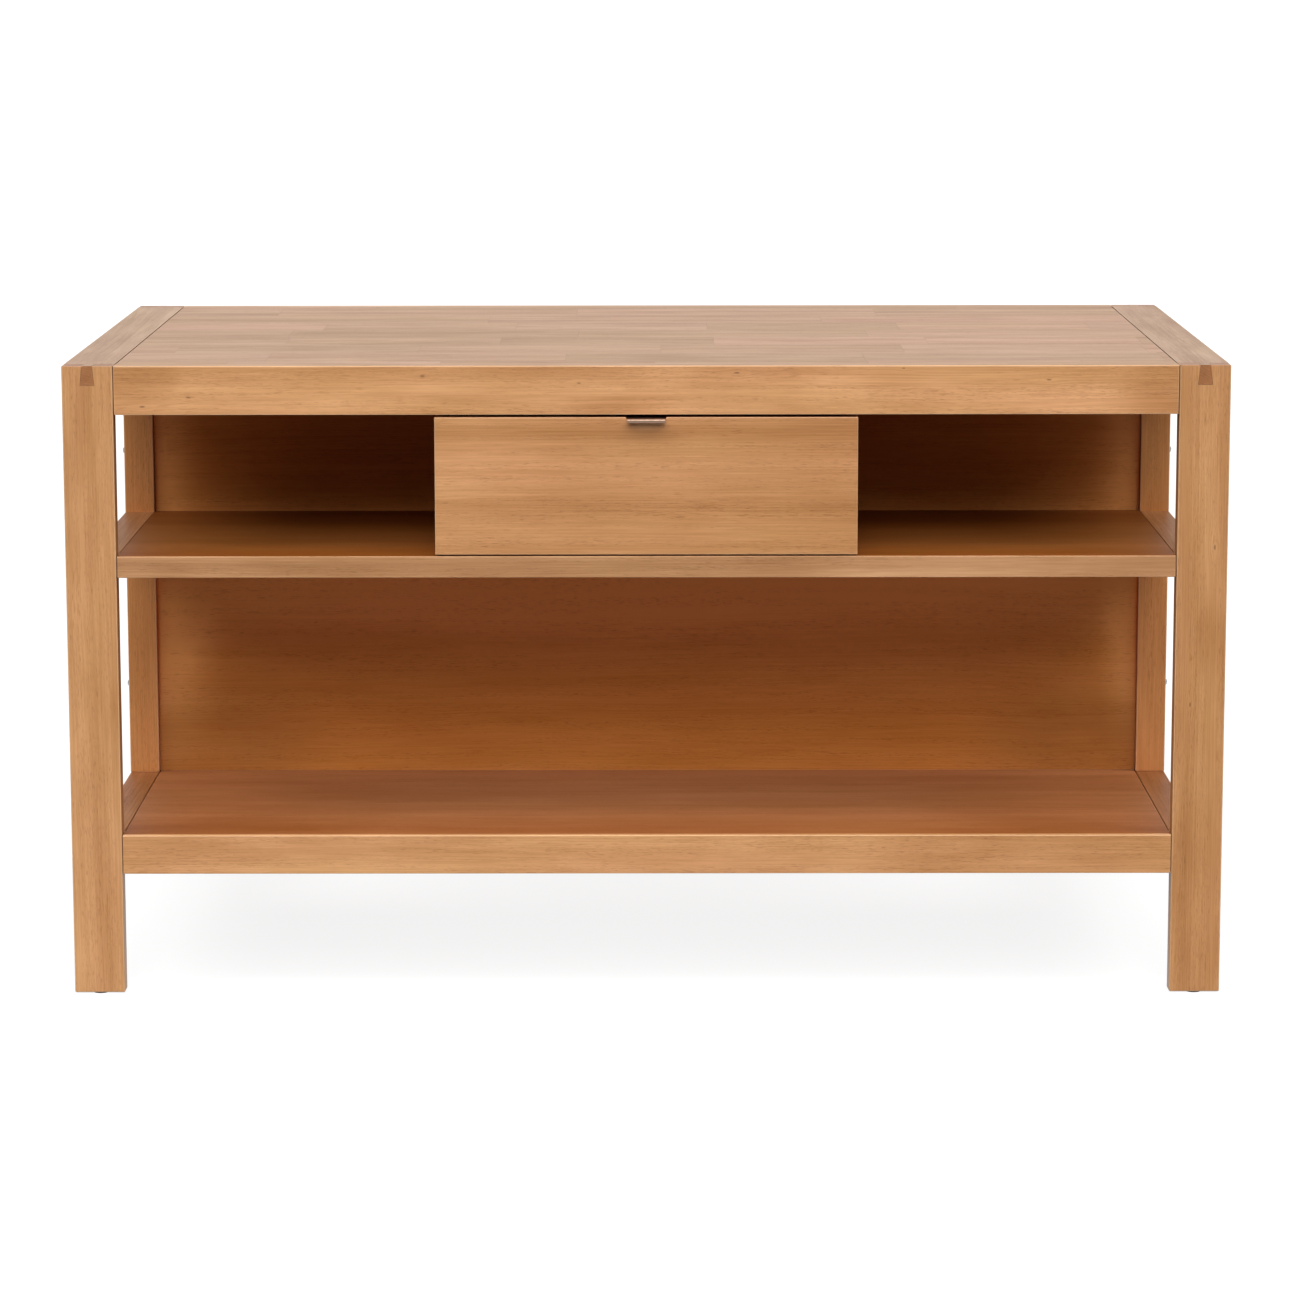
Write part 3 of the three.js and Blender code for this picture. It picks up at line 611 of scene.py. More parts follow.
@dataclass(frozen=True)
class Timber:
    """Hardwood under satin lacquer, with growth rings, streaks, fibres, flecks and pores.

    Attributes:
        name: The material's name.
        run: The axis of the grain.
        middle: The wood's mean colour as it shows on a screen.
        spread: How far the palest and the darkest wood lie from it on each channel.
        heart: Where the middle of the tree lay, in the two directions across the grain.
        ring: The spacing of the growth rings.
        wander: How far the grain strays sideways.
        rings, streaks, mottle, broad, fibre, flecks: How strongly each shows.
        streak_size: Streaks per metre across the grain.
        roughness: The lacquer's mean roughness.
        gloss: How strongly the lacquer mirrors.
        coat: How much of a second, clearer coat lies on it.
        edge: How pale the rounded edges are, with sanded wear and a painted highlight.
        staves: How the board is glued up, if it is.
        bands: The board's own streaks, along its height.
        patches: Its darker and paler spots, some of the wood's own tone and some painted light and shade.
        shades: Spots with less light, whose tone is the share that is missing.
        knots: Its pin knots.
        seed: A number that makes two boards differ.
        deepest: The darkest tone that the wood reaches, where 0.5 is its mean.
        pores, glue, ends, seams: How much darker each of these is than the wood; in the seams this is painted
            shade.
        relief: How deep the fibres and pores are.
    """

    name: str
    run: Run
    middle: tuple[float, float, float]
    spread: float = 32
    heart: tuple[float, float] = (0.3, 1.9)
    ring: float = 0.0032
    wander: float = 0.006
    rings: float = 0.16
    streaks: float = 0.21
    mottle: float = 0.16
    broad: float = 0.10
    fibre: float = 0.17
    flecks: float = 0.21
    streak_size: float = 24
    roughness: float = 0.46
    gloss: float = 0.42
    coat: float = 0.12
    edge: float = 0.24
    staves: Staves | None = None
    bands: Bands | None = None
    patches: tuple[Patch, ...] = ()
    shades: tuple[Patch, ...] = ()
    knots: tuple[Knot, ...] = ()
    seed: float = 0.0
    deepest: float = 1.5
    pores: float = 0.36
    glue: float = 0.34
    ends: float = 0.85
    seams: float = 0.92
    relief: float = 0.12 * MM

    def make(self) -> bpy.types.Material:
        """Builds the material.

        Returns:
            The material, whose pattern lies in the island's own space.
        """
        sheet = Sheet(self.name)
        raw = sheet.place()
        bent, knot = self._knots(sheet, raw)
        parts = sheet.split(bent)
        plain = sheet.join(*(parts[index] for index in self.run.value))
        start, tint, glue = self._staves(sheet, plain)
        warped = self._wander(sheet, start)
        tone, fibres, pores = self._grain(sheet, warped)
        tone = self._figure(sheet, raw, warped, tone)
        colour = sheet.ramp(sheet.maths("DIVIDE", tone, self.deepest), self._colours())
        colour = self._hue(sheet, warped, colour)
        colour = self._shade(sheet, raw, colour)
        colour = sheet.blend(sheet.times(pores, self.pores), colour, PORE_BROWN, "MULTIPLY")
        colour = sheet.blend(1.0, colour, tint, "MULTIPLY")
        colour = sheet.blend(sheet.times(glue, self.glue), colour, PORE_BROWN, "MULTIPLY")
        colour = sheet.blend(knot, colour, KNOT_BROWN)
        colour = self._edges(sheet, colour)
        roughness = sheet.remap(tone, 0, 1, self.roughness - 0.05, self.roughness + 0.07, smooth=False)
        relief = sheet.minus(sheet.times(fibres, 0.5), sheet.times(pores, 0.5))
        relief = sheet.minus(relief, sheet.times(glue, 0.6))
        return sheet.finish(colour, roughness, relief, self.relief, {
            "Specular IOR Level": self.gloss, "Coat Weight": self.coat, "Coat Roughness": 0.3})

    def _colours(self) -> list[tuple[float, Colour]]:
        """Gives the row of colours from the palest wood to the darkest, even to the eye."""
        shares = (0.0, 0.15, 0.3, 0.45, 0.6, 0.8, 1.0)
        return [(share, paint(*(max(part + self.spread * (1 - 2 * share * self.deepest), 1)
                                for part in self.middle))) for share in shares]

    def _staves(self, sheet: Sheet, plain: Socket) -> tuple[Socket, Any, Any]:
        """Moves the pattern to another part of the tree in each stave.

        Args:
            sheet: The material's node tree.
            plain: The coordinates, with the grain's axis first.

        Returns:
            The new coordinates, each stave's tint, and the glue lines.
        """
        start = sheet.vector("ADD", plain, (self.seed, self.seed * 0.37, self.seed * 0.61))
        staves = self.staves
        if staves is None:
            return start, WHITE, 0.0
        along, across, _ = sheet.split(plain)
        rows = sheet.maths("DIVIDE", sheet.minus(across, staves.start), staves.width)
        row = sheet.maths("FLOOR", rows)
        chance, chance_b, _ = sheet.split(sheet.random(sheet.join(row, self.seed, 3.1)))
        length = sheet.remap(chance, 0, 1, staves.shortest, staves.longest, smooth=False)
        cells = sheet.maths("DIVIDE", sheet.plus(along, sheet.times(chance_b, 9.0)), length)
        cell = sheet.maths("FLOOR", cells)
        chances = sheet.random(sheet.join(row, cell, self.seed + 7.7))
        shift = sheet.scaled(chances, (4.0, 0.9, 0.9))
        value, warmth, _ = sheet.split(chances)
        pale = sheet.remap(value, 0, 1, 1 - staves.contrast, 1 + staves.contrast * 0.35, smooth=False)
        red = sheet.times(pale, sheet.remap(warmth, 0, 1, 0.985, 1.03, smooth=False))
        tint = sheet.join(red, pale, sheet.times(pale, pale))
        edge = sheet.times(sheet.maths("PINGPONG", rows, 0.5), staves.width)
        end = sheet.times(sheet.maths("PINGPONG", cells, 0.5), length)
        glue = sheet.remap(sheet.maths("MINIMUM", edge, end), 0.0, 0.7 * MM, 1.0, 0.0)
        return sheet.vector("ADD", start, shift), tint, glue

    def _wander(self, sheet: Sheet, place: Socket) -> Socket:
        """Lets the grain stray sideways along the board."""
        slow = sheet.drift(place, 0.9, 3.2, 2, self.wander * 4)
        quick = sheet.drift(place, 6.0, 24.0, 1, self.wander * 0.35)
        return sheet.vector("ADD", place, sheet.vector("ADD", slow, quick))

    def _knots(self, sheet: Sheet, raw: Socket) -> tuple[Socket, Any]:
        """Bends the grain round each pin knot.

        Args:
            sheet: The material's node tree.
            raw: The places in the island.

        Returns:
            The bent places and how much of a knot each one is.
        """
        bent, dark = raw, 0.0
        shrink = tuple(0.36 if axis == self.run.value[0] else 1.0 for axis in range(3))
        sideways = tuple(0.0 if axis == self.run.value[0] else 1.0 for axis in range(3))
        for knot in self.knots:
            away = sheet.vector("SUBTRACT", raw, (knot.x, FRONT, knot.z))
            near = sheet.length(sheet.scaled(away, shrink))
            push = sheet.remap(near, knot.radius * 0.6, knot.radius * 8, 0.7, 0.0)
            shift = sheet.scaled(away, sideways)
            bent = sheet.vector("SUBTRACT", bent, sheet.scaled(shift, sheet.join(push, push, push)))
            heart = sheet.remap(near, knot.radius * 0.4, knot.radius * 1.2, 0.62, 0.0)
            dark = sheet.maths("MAXIMUM", dark, heart)
        return bent, dark

    def _grain(self, sheet: Sheet, warped: Socket) -> tuple[Socket, Socket, Socket]:
        """Builds the growth rings, streaks, fibres, flecks and pores.

        Args:
            sheet: The material's node tree.
            warped: The coordinates after the grain has strayed.

        Returns:
            The tone from pale to dark, the fibres' relief and the pores.
        """
        _, across, up = sheet.split(warped)
        radius = sheet.length(sheet.join(
            sheet.minus(across, self.heart[0]), sheet.minus(up, self.heart[1]), 0.0))
        uneven = sheet.noise(sheet.join(radius, 0.0, 0.0), 55.0, 1.0)
        count = sheet.maths("MULTIPLY_ADD", uneven, 5.0, sheet.maths("DIVIDE", radius, self.ring))
        late = sheet.maths("POWER", sheet.maths("FRACT", count), 2.6)
        late = sheet.times(late, sheet.remap(sheet.noise(warped, 1.4, 38.0, 1), 0.35, 0.68, 0.1, 1.0))
        tone = sheet.maths("MULTIPLY_ADD", late, self.rings, 0.5 - self.rings * 0.25)
        for amount, along, around, detail in ((self.streaks, 0.5, self.streak_size, 4),
                                              (self.mottle, 6.0, 26.0, 3), (self.broad, 1.8, 7.0, 2)):
            cloud = sheet.noise(warped, along, around, detail, 0.58)
            tone = sheet.plus(tone, sheet.remap(cloud, 0.25, 0.75, -amount, amount, smooth=False))
        fibre = sheet.noise(warped, 9.0, 430.0, 3, 0.68)
        tone = sheet.plus(tone, sheet.remap(fibre, 0.25, 0.75, -self.fibre, self.fibre, smooth=False))
        dash = sheet.remap(sheet.noise(warped, 60.0, 460.0, 1), 0.56, 0.72)
        crowd = sheet.remap(sheet.noise(warped, 5.0, 46.0), 0.42, 0.66)
        tone = sheet.maths("MULTIPLY_ADD", sheet.times(dash, crowd), self.flecks, tone)
        slit = sheet.noise(warped, 90.0, 1500.0, 1)
        room = sheet.noise(warped, 2.0, 90.0, 1)
        pores = sheet.times(sheet.remap(slit, 0.58, 0.68), sheet.remap(room, 0.36, 0.6))
        return tone, fibre, pores

    def _figure(self, sheet: Sheet, raw: Socket, warped: Socket, tone: Socket) -> Socket:
        """Adds the board's streaks and spots to its tone, the spots being the wood's own tone on some boards
        and painted light and shade on others.

        Args:
            sheet: The material's node tree.
            raw: The places in the island.
            warped: The coordinates after the grain has strayed.
            tone: The tone so far.

        Returns:
            The tone with them.
        """
        rough = sheet.noise(warped, 1.6, 60.0, 3, 0.6, colour=True)
        astray = sheet.scaled(sheet.vector("SUBTRACT", rough, (0.5, 0.5, 0.5)), (0.02, 0.012, 0.012))
        if self.bands:
            height = sheet.split(sheet.vector("ADD", raw, sheet.scaled(astray, (1, 0.4, 0.4))))[2]
            share = sheet.remap(height, self.bands.low, self.bands.high, smooth=False)
            strip = sheet.ramp(share, [(place, (dark, dark, dark, 1.0)) for place, dark in self.bands.stops])
            weight = sheet.remap(sheet.split(rough)[0], 0.3, 0.7, 0.6, 1.3, smooth=False)
            tone = sheet.maths("MULTIPLY_ADD", sheet.split(strip)[0], weight, tone)
        frayed = sheet.vector("ADD", raw, astray)
        for patch in self.patches:
            tone = sheet.plus(tone, self._spot(sheet, frayed, patch))
        return tone

    @staticmethod
    def _spot(sheet: Sheet, place: Socket, patch: Patch) -> Socket:
        """Gives a patch's tone in its middle, which fades to nothing at its rim."""
        away = sheet.vector("SUBTRACT", place, patch.place)
        near = sheet.length(sheet.scaled(away, tuple(1 / size for size in patch.size)))
        return sheet.remap(near, 0.2, 1.0, patch.tone, 0.0)

    def _shade(self, sheet: Sheet, raw: Socket, colour: Socket) -> Socket:
        """Dims the colour in the spots with less light, all channels alike."""
        for patch in self.shades:
            colour = sheet.blend(self._spot(sheet, raw, patch), colour, BLACK)
        return colour

    def _hue(self, sheet: Sheet, warped: Socket, colour: Socket) -> Socket:
        """Lets the wood turn a little rosier in some places and more golden in others."""
        cloud = sheet.noise(warped, 2.5, 16.0)
        rosy = sheet.remap(cloud, 0.3, 0.7, smooth=False)
        shift = sheet.blend(rosy, (0.988, 1.006, 0.955, 1.0), (1.012, 0.994, 1.045, 1.0))
        return sheet.blend(1.0, colour, shift, "MULTIPLY")

    def _edges(self, sheet: Sheet, colour: Socket) -> Socket:
        """Darkens the end grain, paints shade into the seams, and pales the rounded edges with sanded wear
        and a painted highlight.
        """
        arris = sheet.add("ShaderNodeAttribute", {"attribute_name": "arris"}).outputs["Fac"]
        # Negative marks are painted shade in the seams.
        seam = sheet.times(sheet.maths("MINIMUM", arris, 0.0), -1.0)
        facing = tuple(1.0 if axis == self.run.value[0] else 0.0 for axis in range(3))
        normal = sheet.add("ShaderNodeTexCoord").outputs["Normal"]
        end = sheet.maths("ABSOLUTE", sheet.vector("DOT_PRODUCT", normal, facing))
        colour = sheet.blend(sheet.remap(end, 0.6, 0.95, 0.0, self.ends), colour, END_GRAIN, "MULTIPLY")
        # Positive marks pale the rounded edges, with sanded wear and a painted highlight.
        pale = sheet.times(sheet.maths("MAXIMUM", arris, 0.0), self.edge)
        colour = sheet.blend(pale, colour, SANDED_EDGE_AND_HIGHLIGHT)
        return sheet.blend(sheet.times(seam, self.seams), colour, SEAM_SHADE_BROWN)


@dataclass(frozen=True)
class Steel:
    """Bare or plated steel with fine marks.

    Attributes:
        name: The material's name.
        colour: The metal's colour.
        roughness: Its mean roughness.
        brush: Marks per metre along the island and across it.
        depth: How deep the marks are.
    """

    name: str
    colour: Colour
    roughness: float
    brush: tuple[float, float]
    depth: float

    def make(self) -> bpy.types.Material:
        """Builds the material."""
        sheet = Sheet(self.name)
        place = sheet.place()
        marks = sheet.noise(place, *self.brush, 3, 0.6)
        colour = sheet.mottled(place, self.colour, 140.0, 0.86)
        roughness = sheet.remap(marks, 0.3, 0.7, self.roughness - 0.07, self.roughness + 0.1, smooth=False)
        return sheet.finish(colour, roughness, marks, self.depth, {"Metallic": 1.0})


@dataclass(frozen=True)
class Moulding:
    """Moulded plastic or rubber with a fine grain.

    Attributes:
        name: The material's name.
        colour: Its colour.
        roughness: Its mean roughness.
    """

    name: str
    colour: Colour
    roughness: float

    def make(self) -> bpy.types.Material:
        """Builds the material."""
        sheet = Sheet(self.name)
        place = sheet.place()
        grain = sheet.noise(place, 2600.0, 2600.0)
        colour = sheet.mottled(place, self.colour, 90.0, 0.88)
        roughness = sheet.remap(grain, 0.3, 0.7, self.roughness - 0.05, self.roughness + 0.08, smooth=False)
        return sheet.finish(colour, roughness, grain, 0.05 * MM, {})


class Store:
    """The island's finishes, each made once and handed out by name."""

    def __init__(self) -> None:
        """Lists every finish."""
        self.finishes = {finish.name: finish for finish in (
            Timber("leg_timber", Run.Z, (198, 143, 92), heart=(0.2, 1.1), streak_size=30, patches=(
                Patch.front(-0.782, 0.78, 0.020, 0.14, 0.12),
                Patch.front(-0.733, 0.46, 0.010, 0.16, 0.14),
                Patch.front(-0.800, 0.46, 0.012, 0.30, -0.09),
                Patch.front(-0.744, 0.30, 0.010, 0.16, -0.09),
                Patch.front(0.772, 0.76, 0.060, 0.20, -0.03),
                Patch.front(0.776, 0.50, 0.034, 0.07, 0.17),
                Patch.front(0.765, 0.10, 0.120, 0.30, 0.12),
                Patch.front(0.765, 0.50, 0.090, 0.90, 0.17)),
                knots=(Knot(0.782, 0.63, 0.0016), Knot(0.752, 0.41, 0.0014)), seed=2.0),
            Timber("post_timber", Run.Z, (218, 147, 84), heart=(2.6, 1.1), rings=0.08, streaks=0.08,
                   mottle=0.08, broad=0.03, seed=4.0),
            # The worktop, end rails, leg tops and apron tops take greyer copies of the wood than the front
            # faces: painted sheen on upward faces.
            Timber("worktop_timber", Run.X, (170, 130, 98), heart=(2.2, 0.4), rings=0.12,
                   streaks=0.17, broad=0.07, staves=Staves(0.110, 0.050, 0.26, 0.52, 0.11), roughness=0.5,
                   seed=5.0),
            # The top's underside is a darker copy of its wood, as painted shade.
            Timber("underside_timber", Run.X, (150, 98, 54), heart=(2.2, 0.4), rings=0.12,
                   staves=Staves(0.110, 0.050, 0.26, 0.52, 0.13), roughness=0.55, seed=5.0),
            Timber("end_rail_timber", Run.Y, (163, 127, 96), heart=(0.9, 0.5), roughness=0.5, seed=8.0),
            Timber("leg_top_timber", Run.Z, (176, 141, 112), heart=(0.2, 1.1), rings=0.3, roughness=0.5,
                   seed=2.0),
            Timber("apron_top_timber", Run.X, (176, 136, 102), heart=(-0.45, 1.7), roughness=0.5, seed=11.0),
            Timber("outer_rail_timber", Run.Y, (198, 143, 92), heart=(1.3, 0.2), seed=17.0),
            Timber("dovetail_timber", Run.Y, (186, 134, 84), heart=(0.9, 0.5), rings=0.3, seed=8.0),
            Timber("apron_timber", Run.X, (202, 145, 93), heart=(-0.45, 1.7), patches=(
                Patch.front(-0.715, 0.868, 0.095, 0.060, 0.22),
                Patch.front(-0.655, 0.862, 0.024, 0.030, 0.09),
                Patch.front(-0.110, 0.872, 0.100, 0.040, 0.17),
                Patch.front(-0.050, 0.826, 0.080, 0.020, 0.16),
                Patch.front(0.035, 0.872, 0.060, 0.034, -0.16),
                Patch.front(0.265, 0.852, 0.080, 0.070, -0.16),
                Patch.front(0.500, 0.850, 0.260, 0.080, -0.13),
                Patch.front(0.715, 0.850, 0.090, 0.070, 0.29)),
                knots=(Knot(-0.690, 0.826, 0.0016), Knot(-0.627, 0.839, 0.0013),
                       Knot(-0.306, 0.868, 0.0015), Knot(-0.092, 0.858, 0.0011),
                       Knot(0.124, 0.872, 0.0015), Knot(0.352, 0.878, 0.0010),
                       Knot(0.551, 0.862, 0.0014)), seed=11.0),
            Timber("rail_timber", Run.X, (199, 143, 91), heart=(-0.45, 1.4), patches=(
                Patch.front(-0.200, 0.222, 0.620, 0.026, -0.14),
                Patch.front(0.560, 0.190, 0.330, 0.080, 0.06),
                Patch.front(-0.480, 0.190, 0.280, 0.080, -0.09),
                Patch.front(-0.700, 0.178, 0.060, 0.024, 0.13)), seed=14.0),
            # The side rails' timber is a darker copy of the legs' wood, as painted shade, with paler spots on
            # the middle rails' tops as painted sheen.
            Timber("side_rail_timber", Run.Y, (163, 105, 59), heart=(1.3, 0.2), gloss=0.15, coat=0.0,
                   patches=(Patch((-0.750, -0.200, 0.615), (0.060, 0.500, 0.030), -0.22),
                            Patch((0.750, -0.200, 0.615), (0.060, 0.500, 0.030), -0.14)), seed=17.0),
            Timber("shelf_edge_timber", Run.X, (178, 128, 83), heart=(0.1, 2.0), streak_size=34, edge=0.0,
                   patches=(Patch.front(0.420, 0.604, 0.240, 0.060, -0.19),
                            Patch.front(-0.660, 0.597, 0.050, 0.018, 0.14)), seed=20.0),
            # The lower shelf's spots are painted light and shade: paler at the back, darker along the front
            # and towards the ends.
            Timber("shelf_veneer", Run.X, (181, 119, 75), spread=20, heart=(2.0, 0.6), streak_size=16,
                   wander=0.010, fibre=0.16, flecks=0.16, gloss=0.3, coat=0.0, patches=(
                       Patch((0.0, -0.020, 0.226), (0.750, 0.260, 0.030), -0.45),
                       Patch((0.0, -0.450, 0.226), (2.000, 0.200, 0.030), 0.60),
                       Patch((-0.600, -0.200, 0.226), (0.300, 0.500, 0.030), 0.34),
                       Patch((0.600, -0.200, 0.226), (0.300, 0.500, 0.030), 0.38)), seed=21.0),
            # The middle shelf's top is a darker copy of the shelf wood, with darker spots at the back and
            # front, all painted shade.
            Timber("mid_veneer", Run.X, (150, 90, 38), spread=28, heart=(2.0, 0.6), rings=0.10,
                   streaks=0.11, mottle=0.08, broad=0.06, streak_size=16, wander=0.010, fibre=0.10,
                   flecks=0.10, gloss=0.3, coat=0.0,
                   patches=(Patch((0.0, -0.020, 0.6186), (1.300, 0.260, 0.020), 0.60),
                            Patch((0.0, -0.450, 0.6186), (2.000, 0.120, 0.020), 0.35)), seed=22.0),
            # The panel's front is a more saturated copy of the veneer with painted shade and light: darker in
            # the upper bays and at the bottom, paler near the posts and at the top of the lower bay, and
            # dimmer in the lower corners.
            Timber("panel_veneer", Run.X, (213, 136, 66), heart=(0.11, 0.43), ring=0.006,
                   wander=0.012, rings=0.10, streaks=0.11, mottle=0.08, broad=0.06, streak_size=12,
                   fibre=0.10, flecks=0.12, gloss=0.2, coat=0.0, patches=(
                       Patch.panel(-0.400, 0.740, 0.370, 0.230, 0.84),
                       Patch.panel(0.400, 0.740, 0.350, 0.230, 0.76),
                       Patch.panel(-0.730, 0.740, 0.022, 0.130, -0.70),
                       Patch.panel(0.730, 0.740, 0.022, 0.130, -0.70),
                       Patch.panel(-0.730, 0.420, 0.110, 0.260, -0.55),
                       Patch.panel(0.730, 0.420, 0.070, 0.230, -0.50),
                       Patch.panel(-0.745, 0.720, 0.100, 0.300, -0.48),
                       Patch.panel(0.745, 0.720, 0.100, 0.300, -0.52),
                       Patch.panel(0.0, 0.530, 1.500, 0.180, -0.62),
                       Patch.panel(0.0, 0.290, 1.500, 0.120, 0.24)),
                   shades=(Patch.panel(-0.660, 0.260, 0.250, 0.150, 0.32),
                           Patch.panel(0.660, 0.260, 0.250, 0.150, 0.34)), seed=23.0),
            Timber("divider_veneer", Run.Y, (206, 140, 80), rings=0.10, streaks=0.12, seed=24.0),
            Timber("panel_back_veneer", Run.X, (200, 143, 91), heart=(0.11, 0.43), ring=0.006, wander=0.012,
                   rings=0.10, streaks=0.12, mottle=0.10, streak_size=12, fibre=0.12, flecks=0.14, seed=23.0),
            Timber("drawer_timber", Run.X, (200, 143, 91), heart=(-0.45, 3.0), ring=0.0036, wander=0.003,
                   streaks=0.14, mottle=0.10, broad=0.06, streak_size=40,
                   bands=Bands(0.6206, 0.8107, (
                       (0.0, 0.10), (0.06, 0.20), (0.20, 0.04), (0.37, 0.22), (0.50, 0.02), (0.66, 0.0),
                       (0.74, 0.17), (0.81, 0.16), (0.88, 0.30), (1.0, 0.12))),
                   # The paler spot just under the pull is painted light that weakens the pull's shadow.
                   patches=(Patch.front(0.0, 0.8005, 0.032, 0.009, -0.45),
                            Patch.front(-0.270, 0.715, 0.180, 0.130, -0.12),
                            Patch.front(0.270, 0.740, 0.200, 0.120, 0.14)), seed=26.0),
            Timber("box_timber", Run.X, (206, 172, 124), heart=(0.3, 1.6), roughness=0.55, seed=29.0),
            Timber("box_side_timber", Run.Y, (206, 172, 124), heart=(1.2, 1.6), roughness=0.55, seed=32.0),
            # The pull's warm tint is a painted reflection of the wood round it.
            Steel("pull_steel", paint(160, 131, 112), 0.34, (14.0, 2600.0), 0.02 * MM),
            Steel("zinc_plate", paint(188, 190, 192), 0.36, (420.0, 420.0), 0.02 * MM),
            Moulding("glide_nylon", paint(92, 77, 64), 0.6),
            Moulding("pad_rubber", paint(206, 203, 196), 0.5),
        )}
        self.made: dict[str, bpy.types.Material] = {}

    def get(self, name: str) -> bpy.types.Material:
        """Makes a finish at its first use and gives it out from then on."""
        if name not in self.made:
            self.made[name] = self.finishes[name].make()
        return self.made[name]


class Ledger:
    """Enters each piece in the frame's books: what it stands for, rides on and is made of."""

    def __init__(self, store: Store) -> None:
        """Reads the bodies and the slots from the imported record."""
        record = frame["record"]
        self.store = store
        self.bodies = {node: body for body, nodes in record["behaviour"]["bodies"].items() for node in nodes}
        self.slots = {part["node"]: part["material_slot"] for part in record["subparts"]}

    def overlay(self, piece: Piece, finish: str, test: Test) -> None:
        """Gives some faces of an entered piece a second finish.

        Args:
            piece: The piece.
            finish: The name of the second finish.
            test: Says yes or no to a face's centre and normal.
        """
        piece.data.materials.append(self.store.get(finish))
        last = len(piece.data.materials) - 1
        for face in piece.data.polygons:
            if test(face.center, face.normal):
                face.material_index = last

    def enter(self, piece: Piece, node: str, finish: str,
              look: Look = lambda centre, normal: None) -> None:
        """Lets a new piece take a node's place.

        Args:
            piece: The new piece.
            node: The node that it stands for.
            finish: The name of its finish.
            look: Marks some faces as paler edges with a painted highlight, or as parts of a seam with painted
                shade.
        """
        Bench.mark_edges(piece, look)
        piece.data.materials.clear()
        piece.data.materials.append(self.store.get(finish))
        Bench.clear()
        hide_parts(node)
        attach(piece, self.bodies[node])
        LOG.info("%s stands for %s, in %s", piece.name, node, finish)

    def coat(self, node: str, finish: str) -> None:
        """Gives a node that stays as it is a better finish."""
        part = frame["nodes"][node]
        material = self.store.get(finish)
        for slot in part.material_slots:
            slot.material = material
        LOG.info("%s stays, in %s", node, finish)


